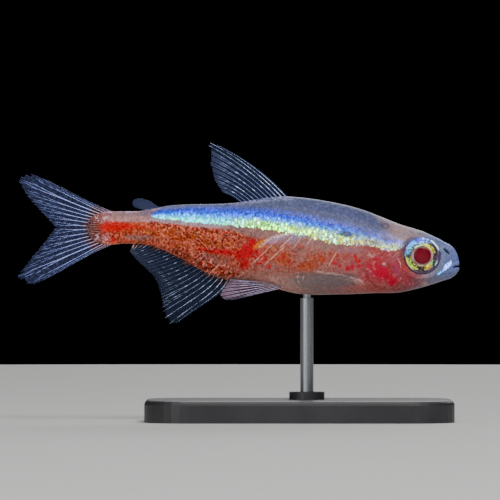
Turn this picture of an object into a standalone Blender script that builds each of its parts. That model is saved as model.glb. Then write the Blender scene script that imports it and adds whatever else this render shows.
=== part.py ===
"""Albino cardinal tetra: a still, life-size display model on a plain stand.

The fish faces +X, its plane of symmetry is y = 0 and it hangs a few degrees nose down,
as it swims. Named sizes are millimetres. Heights of the fish are measured from its swim
line, which lies LIFT above the surface that the stand rests on, and the origin is the
middle of the whole part on that surface. Every node is a closed solid, and neighbours
meet face to face across GAP.
"""
import math

import bmesh
import bpy
from mathutils import Euler, Matrix, Vector

MM = 0.001
GAP = 0.3
LIFT = 16.0

# Fish: total length 40, from the tip of the snout to the tips of the tail
SNOUT = 20.0
SNOUT_ROUND = 1.0
SNOUT_BLUNT = 2.4
MOUTH_HEIGHT = -1.86
BACK = [(-13.4, 2.75), (-12.0, 3.02), (-8.9, 3.1), (-6.0, 3.6), (-0.6, 3.8), (2.9, 4.32), (4.5, 4.4),
        (7.6, 4.05), (11.0, 3.28), (14.6, 1.9), (16.3, 1.36), (18.3, 0.45), (20.0, -0.35)]
BELLY = [(-13.4, 0.3), (-12.0, 0.0), (-10.4, 0.12), (-8.2, 0.0), (-6.0, -0.82), (-2.8, -2.6),
         (-1.2, -3.14), (1.6, -3.45), (5.4, -4.42), (9.2, -4.48), (12.8, -4.35), (14.6, -4.3),
         (16.8, -3.8), (19.2, -3.04), (20.0, -2.85)]
WIDEST = [(-13.4, 1.55), (-8.9, 1.54), (-4.0, 1.15), (2.0, 0.25), (10.0, -0.35), (14.6, -0.85),
          (18.3, -1.45), (20.0, -1.86)]
HALF_WIDTH = [(-13.4, 0.3), (-12.0, 0.44), (-10.0, 0.62), (-5.0, 1.15), (1.0, 1.8), (6.0, 2.18),
              (10.5, 2.32), (14.0, 2.26), (16.6, 1.98), (18.5, 1.5), (20.0, 0.85)]
FULLNESS = 0.86
HALF_RING = 20

# Cuts between head, trunk and tail stem: x of the cut against the turn, -90 at the belly
GILL_EDGE = [(-90, 14.4), (-55, 12.35), (-20, 11.4), (10, 11.7), (45, 12.8), (90, 13.4)]
GILL_GAP = 1.25 * GAP
TAIL_CUT = -9.95
HYPURAL_EDGE = [(-90, -12.15), (-60, -12.8), (0, -13.35), (60, -12.8), (90, -12.15)]
HEAD_RINGS = 26
TRUNK_RINGS = 34
STEM_RINGS = 6

# Eye, seated in its socket
EYE_X = 16.63
EYE_HEIGHT = -0.96
EYE_RIM_Y = 1.46
EYE_RADIUS = 1.66
PUPIL_RADIUS = 0.76
EYE_BULGE = 0.66
EYE_BACK = 0.62
EYE_BACK_ANGLES = (0.45, 0.9, 1.3)
EYE_SEGMENTS = 32
SOCKET_OPENING = 2.0
ORBIT_RIM = 0.1
ORBIT_RIM_SPREAD = 0.35

# Nostril pit
NOSTRIL_X = 18.86
NOSTRIL_HEIGHT = -0.53
NOSTRIL_SIZE = (0.34, 0.24, 0.17)
NOSTRIL_TILT = 40
NOSTRIL_TOE_IN = -25

# Mouth line, and behind its corner the hinge line of the lower jaw down to the throat
JAW_LINE = [(21.0, -1.7), (20.1, -1.86), (19.2, -2.1), (17.9, -2.92), (16.4, -3.72), (15.9, -5.2)]
LIP_SWELL = 0.09
LIP_HEIGHT = 0.4
LIP_START = 18.9
LIP_LENGTH = 0.6
JAW_SIDE = 4.0
JAW_FLOOR = -6.0

# Gill cover: front edge of the plate from its top to its foot, and its thickness
COVER_EDGE = [(12.9, 0.3), (13.75, -0.35), (14.2, -1.4), (14.15, -2.4), (13.6, -3.2), (12.9, -3.65)]
COVER_THICK = 0.7
COVER_INNER_Y = 0.4
COVER_OUTER_Y = 4.0
COVER_OVERRUN = 1.0
COVER_RINGS = 10

# Fins: thickness at a valley between rays and at a ray's crest, and at the free edge
FIN_VALLEY = 0.5
FIN_CREST = 0.68
FIN_EDGE = 0.16
FIN_SCALLOP = 0.035
FIN_ROWS = 6

DORSAL_ROOT = (4.3, -0.1)
DORSAL_RAYS = 11
DORSAL_BOW = 0.42
DORSAL_EDGE = [(-1.7, 9.0), (-2.7, 9.25), (-2.6, 8.6), (-2.5, 7.2), (-2.2, 6.0), (-1.4, 4.75)]

ANAL_ROOT = (-1.05, -9.7)
ANAL_RAYS = 22
ANAL_BOW = 0.15
ANAL_BULGE = 0.4
ANAL_EDGE = [(-5.3, -6.9), (-6.1, -7.17), (-6.8, -6.4), (-6.95, -5.0), (-7.5, -3.2), (-8.2, -2.36),
             (-9.1, -1.5), (-9.85, -0.6)]

CAUDAL_RAYS = 10
CAUDAL_BOW = 0.12
CAUDAL_MIDDLE = 1.57
UPPER_LOBE_EDGE = [(-15.8, 5.15), (-19.0, 6.5), (-20.0, 6.0), (-19.5, 4.8), (-18.4, 3.5), (-16.6, 1.75)]
LOWER_LOBE_EDGE = [(-15.6, -2.1), (-18.9, -3.65), (-20.0, -2.9), (-19.2, -1.65), (-18.0, -0.1),
                   (-16.6, 1.4)]

ADIPOSE_ROOT = (-7.3, -8.75)
ADIPOSE_EDGE = [(-8.0, 3.98), (-8.85, 4.22), (-9.5, 4.1), (-9.62, 3.75), (-9.4, 3.45)]
ADIPOSE_COLUMNS = 6

PELVIC_RAYS = 8
PELVIC_ROOT = [(3.5, -4.05), (1.9, -3.3)]
PELVIC_EDGE = [(-0.5, -4.98), (-1.3, -4.92), (-1.62, -4.6), (-1.5, -4.05), (-1.1, -3.5), (-0.7, -3.05)]
PELVIC_ROOT_Y = 1.15
PELVIC_SPREAD = 0.14

PECTORAL_RAYS = 10
PECTORAL_ROOT = [(11.2, -2.75), (10.9, -3.6)]
PECTORAL_EDGE = [(6.6, -2.45), (5.2, -2.6), (4.95, -3.05), (5.4, -3.65), (6.8, -4.0), (8.3, -4.05)]
PECTORAL_SPREAD = 0.13

# Stand: a flat base with a socket for one round rod
BASE_X = 5.5
BASE_SIZE = (28.0, 15.0, 2.0)
BASE_CORNER = 4.0
BASE_EDGE = 0.4
ROD_X = 6.2
ROD_RADIUS = 0.6
SOCKET_RADIUS = 1.6
SOCKET_HEIGHT = 0.7
SOCKET_DEPTH = 1.6


def smooth(points, at):
    """Value at `at` of the smooth line through (position, value) points."""
    at = min(max(at, points[0][0]), points[-1][0])
    last = len(points) - 1
    i = next(n for n in range(last) if at <= points[n + 1][0])

    def slope(n):
        left, right = points[max(n - 1, 0)], points[min(n + 1, last)]
        return (right[1] - left[1]) / (right[0] - left[0])

    (x0, y0), (x1, y1) = points[i], points[i + 1]
    span = x1 - x0
    t = (at - x0) / span
    rise = y1 - y0
    start, end = slope(i) * span, slope(i + 1) * span
    return y0 + t * start + t * t * (3 * rise - 2 * start - end) + t ** 3 * (start + end - 2 * rise)


def along(points, u):
    """Point at fraction u of the smooth line through points, by its chord length."""
    lengths = [0.0]
    for a, b in zip(points, points[1:]):
        lengths.append(lengths[-1] + (Vector(b) - Vector(a)).length)
    at = u * lengths[-1]
    return Vector([smooth([(s, p[axis]) for s, p in zip(lengths, points)], at)
                   for axis in range(len(points[0]))])


def snout_rounding(x):
    """Share of its height and width that the head keeps at x, falling to 0 at the snout."""
    into = max(0.0, (x - (SNOUT - SNOUT_ROUND)) / SNOUT_ROUND)
    return max(0.0, 1.0 - into ** SNOUT_BLUNT) ** (1.0 / SNOUT_BLUNT)


def relief(x, y, z):
    """Swelling of the flank at a point: the rim of the orbit and the lips."""
    from_eye = math.hypot(x - EYE_X, z - EYE_HEIGHT) - (EYE_RADIUS + GAP)
    rim = ORBIT_RIM * math.exp(-(from_eye / ORBIT_RIM_SPREAD) ** 2)
    near_mouth = min(max((x - LIP_START) / LIP_LENGTH, 0.0), 1.0)
    lips = LIP_SWELL * near_mouth * math.exp(-((z - MOUTH_HEIGHT) / LIP_HEIGHT) ** 2)
    return min(1.0, y) * (rim + lips)


def flesh(x, turn, side, inset=0.0):
    """Point on the skin at x; turn runs from -90 degrees at the belly to 90 at the back."""
    kept = snout_rounding(x)
    level = smooth(WIDEST, x)
    edge = smooth(BACK if turn >= 0 else BELLY, x)
    sine, cosine = math.sin(math.radians(turn)), max(0.0, math.cos(math.radians(turn)))
    z = level + (edge - level) * kept * abs(sine)
    y = (smooth(HALF_WIDTH, x) - inset) * kept * cosine ** FULLNESS if abs(turn) < 90 else 0.0
    if y > 0.0:
        y += relief(x, y, z)
    return Vector((x, side * y, z))


def flank_y(x, z):
    """Half width of the body at x and height z, 0 above its back and below its belly."""
    level = smooth(WIDEST, x)
    edge = smooth(BACK if z > level else BELLY, x)
    sine = min(1.0, (z - level) / (edge - level))
    return smooth(HALF_WIDTH, x) * math.sqrt(1.0 - sine * sine) ** FULLNESS


def world(point):
    """A point of the fish, in millimetres from its swim line, as world metres."""
    return Vector((point[0] * MM, point[1] * MM, (point[2] + LIFT) * MM))


def finish(name, bm, colour, roughness, metallic=0.0):
    """Turn bm into the object `name` with its own material."""
    bmesh.ops.recalc_face_normals(bm, faces=bm.faces)
    mesh = bpy.data.meshes.new(name)
    bm.to_mesh(mesh)
    bm.free()
    obj = bpy.data.objects.new(name, mesh)
    bpy.context.collection.objects.link(obj)
    material = bpy.data.materials.new(name)
    material.use_nodes = True
    shader = material.node_tree.nodes["Principled BSDF"]
    shader.inputs["Base Color"].default_value = (*colour, 1.0)
    shader.inputs["Roughness"].default_value = roughness
    shader.inputs["Metallic"].default_value = metallic
    mesh.materials.append(material)
    shade(obj)
    return obj


def shade(obj):
    """Smooth shading that keeps the sharp edges of cuts."""
    obj.data.shade_smooth()
    obj.data.set_sharp_from_angle(angle=math.radians(40))


def copy_of(obj, name):
    """A separate object with its own mesh and material."""
    twin = bpy.data.objects.new(name, obj.data.copy())
    twin.data.materials[0] = obj.data.materials[0].copy()
    twin.data.materials[0].name = name
    bpy.context.collection.objects.link(twin)
    return twin


def colour(obj, rgb):
    """Give obj's own material another base colour."""
    shader = obj.data.materials[0].node_tree.nodes["Principled BSDF"]
    shader.inputs["Base Color"].default_value = (*rgb, 1.0)


def combine(obj, tool, operation):
    """Apply one Boolean to obj and remove the tool."""
    modifier = obj.modifiers.new(operation.title(), "BOOLEAN")
    modifier.operation = operation
    modifier.solver = "EXACT"
    modifier.object = tool
    bpy.context.view_layer.objects.active = obj
    bpy.ops.object.modifier_apply(modifier=modifier.name)
    bpy.data.objects.remove(tool)
    shade(obj)


def loft(name, front, rear, rings, spacing, inset=0.0, tip=False):
    """Closed length of flesh between two edges, each an x against the turn of the section."""
    bm = bmesh.new()
    turns = [-90 + 180 * n / HALF_RING for n in range(HALF_RING + 1)]
    loops = []
    for ring in range(rings + (0 if tip else 1)):
        share = spacing(ring / rings)
        xs = [rear(t) + (front(t) - rear(t)) * share for t in turns]
        right = [bm.verts.new(world(flesh(x, t, -1, inset))) for x, t in zip(xs, turns)]
        left = [bm.verts.new(world(flesh(x, t, 1, inset))) for x, t in zip(xs[1:-1], turns[1:-1])]
        loops.append((right, [right[0], *left, right[-1]]))
    for a, b in zip(loops, loops[1:]):
        for side in (0, 1):
            for n in range(HALF_RING):
                bm.faces.new((a[side][n], a[side][n + 1], b[side][n + 1], b[side][n]))
    ends = [loops[0]] if tip else [loops[0], loops[-1]]
    for right, left in ends:
        for n in range(HALF_RING):
            corners = (right[n], right[n + 1], left[n + 1], left[n])
            bm.faces.new(list(dict.fromkeys(corners)))
    if tip:
        point = bm.verts.new(world((SNOUT, 0.0, MOUTH_HEIGHT)))
        for line in loops[-1]:
            for n in range(HALF_RING):
                bm.faces.new((line[n], line[n + 1], point))
    return finish(name, bm, (0.75, 0.55, 0.52), 0.35)


def prism(outline, near, far):
    """Solid cutter: an (x, z) outline carried across from y = near to y = far."""
    bm = bmesh.new()
    bottom = bm.faces.new([bm.verts.new(world((x, near, z))) for x, z in outline])
    sides = bmesh.ops.extrude_face_region(bm, geom=[bottom])
    lifted = [v for v in sides["geom"] if isinstance(v, bmesh.types.BMVert)]
    bmesh.ops.translate(bm, verts=lifted, vec=(0.0, (far - near) * MM, 0.0))
    return finish("cutter", bm, (0.5, 0.5, 0.5), 0.5)


def turned(name, profile, side, rgb, roughness):
    """Solid turned about the eye's axis from (radius, distance outwards) points."""
    bm = bmesh.new()
    line = [bm.verts.new((r * MM, 0.0, d * MM)) for r, d in profile]
    edges = [bm.edges.new(pair) for pair in zip(line, line[1:])]
    bmesh.ops.spin(bm, geom=line + edges, cent=(0, 0, 0), axis=(0, 0, 1), angle=math.tau,
                   steps=EYE_SEGMENTS, use_duplicate=False)
    bmesh.ops.remove_doubles(bm, verts=bm.verts, dist=0.01 * MM)
    outwards = Matrix.Rotation(side * -math.pi / 2, 3, "X")
    bmesh.ops.rotate(bm, verts=bm.verts, cent=(0, 0, 0), matrix=outwards)
    bmesh.ops.translate(bm, verts=bm.verts, vec=world((EYE_X, side * EYE_RIM_Y, EYE_HEIGHT)))
    return finish(name, bm, rgb, roughness)


def eye(name, side):
    """Eyeball with a raised lens over the pupil, a sloping iris and a rounded back."""
    front = [(0.0, EYE_BULGE), (0.45 * PUPIL_RADIUS, 0.97 * EYE_BULGE), (PUPIL_RADIUS, 0.85 * EYE_BULGE),
             (1.12 * PUPIL_RADIUS, 0.76 * EYE_BULGE)]
    slope = ((0.68, 0.7), (0.85, 0.46), (0.95, 0.22), (1.0, -0.08))
    iris = [(EYE_RADIUS * r, EYE_BULGE * d) for r, d in slope]
    back = [(EYE_RADIUS * math.cos(a), -EYE_BACK * math.sin(a)) for a in EYE_BACK_ANGLES]
    return turned(name, front + iris + back + [(0.0, -EYE_BACK)], side, (0.75, 0.72, 0.55), 0.15)


def socket_cutter(side):
    """Round pit that holds the eye with GAP all round it."""
    radius, depth = EYE_RADIUS + GAP, EYE_BACK + GAP
    opening = [(0.0, SOCKET_OPENING), (radius, SOCKET_OPENING), (radius, 0.0)]
    bowl = [(radius * math.cos(a), -depth * math.sin(a)) for a in EYE_BACK_ANGLES]
    return turned("cutter", opening + bowl + [(0.0, -depth)], side, (0.5, 0.5, 0.5), 0.5)


def nostril_cutter(side):
    """Small egg sunk in the side of the snout."""
    y = flank_y(NOSTRIL_X, NOSTRIL_HEIGHT)
    bm = bmesh.new()
    bmesh.ops.create_uvsphere(bm, u_segments=10, v_segments=6, radius=MM)
    bmesh.ops.scale(bm, verts=bm.verts, vec=NOSTRIL_SIZE)
    turn = Euler((0.0, math.radians(NOSTRIL_TILT), side * math.radians(NOSTRIL_TOE_IN)))
    bmesh.ops.rotate(bm, verts=bm.verts, cent=(0, 0, 0), matrix=turn.to_matrix())
    bmesh.ops.translate(bm, verts=bm.verts, vec=world((NOSTRIL_X, side * y, NOSTRIL_HEIGHT)))
    return finish("cutter", bm, (0.5, 0.5, 0.5), 0.5)


def gill_edge(turn):
    return smooth(GILL_EDGE, turn)


def below_jaw_line(drop):
    """Prism under the mouth line and the jaw's hinge line, both lowered square to themselves by drop."""
    outline = JAW_LINE + [(JAW_LINE[0][0], JAW_FLOOR)]
    (x0, z0), (x1, z1) = JAW_LINE[0], JAW_LINE[-2]
    shift = Vector((z0 - z1, x1 - x0)).normalized() * drop
    return prism([(x + shift.x, z + shift.y) for x, z in outline], -JAW_SIDE, JAW_SIDE)


def gill_plate(side, outline, thick):
    """Cutter for a gill cover's plate on one side: inside the outline and no deeper than thick."""
    plate = prism(outline, side * COVER_INNER_Y, side * COVER_OUTER_Y)
    core = loft("cutter", lambda t: SNOUT, lambda t: gill_edge(t) - COVER_OVERRUN, COVER_RINGS,
                lambda share: share, thick, tip=True)
    combine(plate, core, "DIFFERENCE")
    return plate


def head_parts():
    """Head with its lower jaw and both gill covers parted from it by thin cuts."""
    head = loft("head", lambda t: SNOUT, gill_edge, HEAD_RINGS,
                lambda share: math.sin(share * math.pi / 2), tip=True)

    jaw = copy_of(head, "lower_jaw")
    colour(jaw, (0.45, 0.45, 0.55))
    combine(jaw, below_jaw_line(GAP), "INTERSECT")

    rear = GILL_EDGE[2][0] - COVER_OVERRUN
    middle = (COVER_EDGE[0][1] + COVER_EDGE[-1][1]) / 2
    wide = [(rear, COVER_EDGE[0][1])] + COVER_EDGE + [(rear, COVER_EDGE[-1][1])]
    narrow = [(x - (GAP if x > rear else 0.0), z + (GAP if z < middle else -GAP)) for x, z in wide]
    for side, name in ((-1, "gill_cover_right"), (1, "gill_cover_left")):
        cover = copy_of(head, name)
        colour(cover, (0.7, 0.12, 0.1))
        combine(cover, gill_plate(side, narrow, COVER_THICK), "INTERSECT")

    combine(head, below_jaw_line(0.0), "DIFFERENCE")
    for side in (-1, 1):
        combine(head, gill_plate(side, wide, COVER_THICK + GAP), "DIFFERENCE")
    for side in (-1, 1):
        combine(head, socket_cutter(side), "DIFFERENCE")
        combine(head, nostril_cutter(side), "DIFFERENCE")


def fin(name, root, edge, rays, bow=0.0, bulge=0.0, normal=(0, 1, 0), rgb=(0.16, 0.2, 0.3),
        scallop=FIN_SCALLOP):
    """Fin between its root line and its free edge, both as 3-D points from the leading ray on.

    Each ray is a crest in both faces and each stretch of membrane a valley. The faces have
    the same triangles, so that they keep their distance where the fin curves. The rays bow
    by bow, forwards in a fin that hangs and backwards in one that stands, and the leading
    rays by bulge too, a quarter of the way out.
    """
    bm = bmesh.new()
    normal = Vector(normal).normalized()
    columns = 2 * rays
    faces = ([], [])
    for column in range(columns + 1):
        u = column / columns
        on_ray = column % 2 == 1 or column in (0, columns)
        base, end = along(root, u), along(edge, u)
        if not on_ray:
            end += (base - end) * scallop
        across = (end - base).cross(normal).normalized()
        thick = FIN_CREST if on_ray else FIN_VALLEY
        line = ([], [])
        for row in range(FIN_ROWS + 1):
            v = row / FIN_ROWS
            bowed = bow * (1.0 - 0.6 * u) * 4.0 * v * (1.0 - v)
            bulged = bulge * (1.0 - u) ** 6 * 9.5 * v * (1.0 - v) ** 3
            middle = base.lerp(end, v) + across * (bowed + bulged)
            half = 0.5 * (thick + (FIN_EDGE - thick) * v ** 3)
            for face, direction in enumerate((-1.0, 1.0)):
                line[face].append(bm.verts.new(world(middle + normal * half * direction)))
        faces[0].append(line[0])
        faces[1].append(line[1])
    for face in faces:
        for a, b in zip(face, face[1:]):
            for n in range(FIN_ROWS):
                bm.faces.new((a[n], b[n], b[n + 1]))
                bm.faces.new((a[n], b[n + 1], a[n + 1]))
    near, far = faces
    for side in (0, -1):
        for n in range(FIN_ROWS):
            bm.faces.new((near[side][n], near[side][n + 1], far[side][n + 1], far[side][n]))
    for row in (0, -1):
        for n in range(columns):
            bm.faces.new((near[n][row], near[n + 1][row], far[n + 1][row], far[n][row]))
    return finish(name, bm, rgb, 0.3)


def root_on(line, front, rear, lift):
    """Root points that follow the back or the belly, lifted clear of it."""
    steps = 5
    xs = [front + (rear - front) * n / steps for n in range(steps + 1)]
    return [(x, 0.0, smooth(line, x) + lift) for x in xs]


def upright(points):
    """(x, z) points placed in the plane of symmetry."""
    return [(x, 0.0, z) for x, z in points]


def median_fins():
    fin("dorsal_fin", root_on(BACK, *DORSAL_ROOT, GAP), upright(DORSAL_EDGE), DORSAL_RAYS, -DORSAL_BOW)
    fin("anal_fin", root_on(BELLY, *ANAL_ROOT, -GAP), upright(ANAL_EDGE), ANAL_RAYS, ANAL_BOW, ANAL_BULGE)
    fin("adipose_fin", root_on(BACK, *ADIPOSE_ROOT, GAP), upright(ADIPOSE_EDGE), ADIPOSE_COLUMNS,
        scallop=0.0)
    for name, start, edge, bow in (("caudal_fin_upper", 90, UPPER_LOBE_EDGE, CAUDAL_BOW),
                                   ("caudal_fin_lower", -90, LOWER_LOBE_EDGE, -CAUDAL_BOW)):
        sign = math.copysign(1, start)
        root = []
        for n in range(5):
            turn = start * (1 - n / 4)
            x = smooth(HYPURAL_EDGE, turn)
            height = flesh(x, turn, 0).z if n < 4 else CAUDAL_MIDDLE + sign * GAP / 2
            root.append((x - GAP, 0.0, height))
        fin(name, root, upright(edge), CAUDAL_RAYS, bow)


def paired_fins():
    for side, word in ((-1, "right"), (1, "left")):
        def pelvic(x, z):
            return (x, side * (PELVIC_ROOT_Y + PELVIC_SPREAD * (PELVIC_ROOT[0][0] - x)), z)

        root, edge = [pelvic(*p) for p in PELVIC_ROOT], [pelvic(*p) for p in PELVIC_EDGE]
        fin("pelvic_fin_" + word, root, edge, PELVIC_RAYS, normal=(PELVIC_SPREAD, side, 0.0))

        def pectoral(x, z):
            off = GAP + FIN_CREST / 2 + PECTORAL_SPREAD * (PECTORAL_ROOT[0][0] - x)
            return (x, side * (flank_y(x, z) + off), z)

        root, edge = [pectoral(*p) for p in PECTORAL_ROOT], [pectoral(*p) for p in PECTORAL_EDGE]
        fin("pectoral_fin_" + word, root, edge, PECTORAL_RAYS, normal=(PECTORAL_SPREAD, side, -0.5),
            rgb=(0.6, 0.55, 0.55))


def cylinder(name, radius, low, high, segments, rgb):
    """Upright round solid on the rod's axis between two heights above the floor."""
    bm = bmesh.new()
    bmesh.ops.create_cone(bm, cap_ends=True, segments=segments, radius1=radius * MM, radius2=radius * MM,
                          depth=(high - low) * MM)
    bmesh.ops.translate(bm, verts=bm.verts, vec=(ROD_X * MM, 0.0, (low + high) / 2 * MM))
    return finish(name, bm, rgb, 0.3)


def stand():
    """Flat base with a raised socket, and the rod that stands in it under the belly."""
    length, width, height = BASE_SIZE
    bm = bmesh.new()
    bmesh.ops.create_cube(bm, size=1.0)
    bmesh.ops.scale(bm, verts=bm.verts, vec=(length * MM, width * MM, height * MM))
    bmesh.ops.translate(bm, verts=bm.verts, vec=(BASE_X * MM, 0.0, height / 2 * MM))
    corners = [e for e in bm.edges if abs(e.verts[0].co.z - e.verts[1].co.z) > MM]
    bmesh.ops.bevel(bm, geom=corners, offset=BASE_CORNER * MM, segments=8, profile=0.5, affect="EDGES")
    rim = [e for e in bm.edges if min(v.co.z for v in e.verts) > (height - 0.1) * MM]
    bmesh.ops.bevel(bm, geom=rim, offset=BASE_EDGE * MM, segments=3, profile=0.5, affect="EDGES")
    dark = (0.03, 0.03, 0.035)
    base = finish("stand_base", bm, dark, 0.35)
    combine(base, cylinder("cutter", SOCKET_RADIUS, height / 2, height + SOCKET_HEIGHT, 32, dark), "UNION")
    floor = height + SOCKET_HEIGHT - SOCKET_DEPTH
    combine(base, cylinder("cutter", ROD_RADIUS + GAP, floor, height + 2, 32, dark), "DIFFERENCE")
    top = LIFT + smooth(BELLY, ROD_X) - GAP
    rod = cylinder("stand_rod", ROD_RADIUS, floor + GAP, top, 24, (0.6, 0.6, 0.62))
    rod.data.materials[0].node_tree.nodes["Principled BSDF"].inputs["Metallic"].default_value = 1.0


def build():
    for obj in list(bpy.data.objects):
        bpy.data.objects.remove(obj)
    head_parts()
    eye("eye_right", -1)
    eye("eye_left", 1)
    loft("trunk", lambda t: gill_edge(t) - GILL_GAP, lambda t: TAIL_CUT, TRUNK_RINGS,
         lambda share: share)
    stem = loft("tail_stem", lambda t: TAIL_CUT - GAP, lambda t: smooth(HYPURAL_EDGE, t), STEM_RINGS,
                lambda share: share)
    colour(stem, (0.72, 0.2, 0.12))
    median_fins()
    paired_fins()
    stand()


build()
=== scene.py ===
import math

import bpy
import numpy as np
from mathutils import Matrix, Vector

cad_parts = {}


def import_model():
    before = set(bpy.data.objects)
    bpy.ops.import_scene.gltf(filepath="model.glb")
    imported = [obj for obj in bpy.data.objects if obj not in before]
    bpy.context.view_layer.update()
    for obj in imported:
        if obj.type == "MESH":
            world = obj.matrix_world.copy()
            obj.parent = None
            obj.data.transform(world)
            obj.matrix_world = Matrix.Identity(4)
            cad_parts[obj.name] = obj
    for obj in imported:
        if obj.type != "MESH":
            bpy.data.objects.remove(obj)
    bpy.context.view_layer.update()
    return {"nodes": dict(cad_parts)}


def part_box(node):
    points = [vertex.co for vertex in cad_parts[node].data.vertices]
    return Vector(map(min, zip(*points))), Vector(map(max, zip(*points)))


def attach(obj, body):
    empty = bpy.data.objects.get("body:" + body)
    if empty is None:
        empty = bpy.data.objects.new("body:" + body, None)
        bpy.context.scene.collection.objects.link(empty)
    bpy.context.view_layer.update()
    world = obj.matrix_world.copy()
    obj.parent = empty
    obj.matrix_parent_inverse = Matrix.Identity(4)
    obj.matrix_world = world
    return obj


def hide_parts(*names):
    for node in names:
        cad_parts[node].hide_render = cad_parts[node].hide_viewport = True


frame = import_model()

# Lengths are millimetres, and heights are measured from the fish's swim line
MM = 0.001
RNG = np.random.default_rng(11)

# Outlines of the fish: x from the tail to the snout, with the height or half width there
SNOUT = 20.0
SNOUT_ROUND = 1.0
SNOUT_BLUNT = 2.4
BACK = [
    (-13.9, 2.55), (-13.3, 2.75), (-12.0, 3.02), (-8.9, 3.1), (-6.0, 3.6), (-0.6, 3.8), (2.9, 4.32),
    (4.5, 4.4), (7.6, 4.05), (11.0, 3.28), (14.6, 1.9), (16.3, 1.36), (18.3, 0.45), (20.0, -0.35)]
BELLY = [
    (-13.9, 0.5), (-13.3, 0.3), (-12.0, 0.0), (-10.4, 0.12), (-8.2, 0.0), (-6.0, -0.82), (-2.8, -2.6),
    (-1.2, -3.14), (1.6, -3.45), (5.4, -4.42), (9.2, -4.48), (12.8, -4.35), (14.6, -4.3), (16.8, -3.8),
    (19.2, -3.04), (20.0, -2.85)]
WIDEST = [
    (-13.9, 1.55), (-8.9, 1.54), (-4.0, 1.15), (2.0, 0.25), (10.0, -0.35), (14.6, -0.85), (18.3, -1.45),
    (20.0, -1.86)]
HALF_WIDTH = [
    (-13.9, 0.1), (-13.3, 0.24), (-12.0, 0.44), (-10.0, 0.62), (-5.0, 1.15), (1.0, 1.8), (6.0, 2.18),
    (10.5, 2.32), (14.0, 2.26), (16.6, 1.98), (18.5, 1.5), (20.0, 0.85)]
FULLNESS = 0.86
TAIL_MARGIN = [
    (-90, -12.2), (-68, -13.0), (-40, -13.45), (0, -13.65), (40, -13.45), (68, -13.0), (90, -12.2)]
TAIL_RAYS = 20
GILL_EDGE = [(-90, 14.4), (-55, 12.35), (-20, 11.4), (10, 11.7), (45, 12.8), (90, 13.4)]

# Places taken from the frame
SWIM_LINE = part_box("trunk")[1].z - max(z for x, z in BACK) * MM
eye_low, eye_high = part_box("eye_right")
EYE_X = (eye_low.x + eye_high.x) / 2 / MM
EYE_HEIGHT = ((eye_low.z + eye_high.z) / 2 - SWIM_LINE) / MM
EYE_RADIUS = (eye_high.x - eye_low.x) / 2 / MM
EYE_FRONT = -eye_low.y / MM
EYE_STANDS_OUT = 0.72
SOCKET_WIDTH = 0.42


def smooth(points, at):
    """Values at `at` of the smooth line through (position, value) points."""
    x, y = np.array(points, float).T
    n = np.arange(len(x))
    before, after = np.maximum(n - 1, 0), np.minimum(n + 1, len(x) - 1)
    slope = (y[after] - y[before]) / (x[after] - x[before])
    at = np.clip(at, x[0], x[-1])
    i = np.clip(np.searchsorted(x, at) - 1, 0, len(x) - 2)
    span = x[i + 1] - x[i]
    t = (at - x[i]) / span
    rise = y[i + 1] - y[i]
    a, b = slope[i] * span, slope[i + 1] * span
    return y[i] + t * a + t * t * (3 * rise - 2 * a - b) + t ** 3 * (a + b - 2 * rise)


def along(points, u):
    """Points at fractions u of the smooth line through points, by its chord length."""
    p = np.array(points, float)
    lengths = np.concatenate([[0], np.cumsum(np.linalg.norm(np.diff(p, axis=0), axis=1))])
    at = np.asarray(u) * lengths[-1]
    return np.stack([smooth(list(zip(lengths, p[:, k])), at) for k in range(p.shape[1])], axis=-1)


def ease(low, high, value):
    """0 below low, 1 above high and smooth between."""
    t = np.clip((value - low) / (high - low), 0.0, 1.0)
    return t * t * (3 - 2 * t)


def hump(value, width):
    """1 where value is 0, falling away over width."""
    return np.exp(-(value / width) ** 2)


def pieces(x, z, points):
    """Distance of each (x, z) to each piece of a broken line, and the nearest place's share of it."""
    for (x0, z0), (x1, z1) in zip(points, points[1:]):
        dx, dz = x1 - x0, z1 - z0
        t = np.clip(((x - x0) * dx + (z - z0) * dz) / (dx * dx + dz * dz), 0, 1)
        yield np.hypot(x - x0 - t * dx, z - z0 - t * dz), t


def to_line(x, z, points):
    """Distance from each (x, z) to a broken line."""
    return np.min([away for away, share in pieces(x, z, points)], axis=0)


def stroke(x, z, points):
    """1 inside a drawn line of (x, height, half width) points, soft at its edges."""
    widths = [q[2] for q in points]
    found = zip(pieces(x, z, [q[:2] for q in points]), widths, widths[1:])
    widest = np.min([away / (w0 + (w1 - w0) * share) for (away, share), w0, w1 in found], axis=0)
    return ease(1.35, 0.65, widest)


def world(points):
    """Fish millimetres to the frame's metres."""
    return np.asarray(points, float) * MM + np.array([0.0, 0.0, SWIM_LINE])


def deselect():
    if bpy.context.object and bpy.context.object.mode != "OBJECT":
        bpy.ops.object.mode_set(mode="OBJECT")
    bpy.ops.object.select_all(action="DESELECT")


def only(obj):
    deselect()
    obj.select_set(True)
    bpy.context.view_layer.objects.active = obj


def new_piece(name):
    """The primitive that was just added, named."""
    obj = bpy.context.object
    obj.name = name
    obj.data.name = name
    return obj


def positions(obj):
    co = np.empty(len(obj.data.vertices) * 3)
    obj.data.vertices.foreach_get("co", co)
    return co.reshape(-1, 3)


def move_points(obj, points):
    obj.data.vertices.foreach_set("co", np.ascontiguousarray(points, float).ravel())
    obj.data.update()


def keep(obj, name, values):
    """Store one number for each point, for the material to read."""
    layer = obj.data.attributes.new(name, "FLOAT", "POINT")
    layer.data.foreach_set("value", np.ascontiguousarray(values, np.float32))


def coat(obj, material):
    obj.data.materials.clear()
    obj.data.materials.append(material)


def face_outwards(obj):
    only(obj)
    bpy.ops.object.mode_set(mode="EDIT")
    bpy.ops.mesh.select_all(action="SELECT")
    bpy.ops.mesh.normals_make_consistent(inside=False)
    bpy.ops.object.mode_set(mode="OBJECT")


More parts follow.
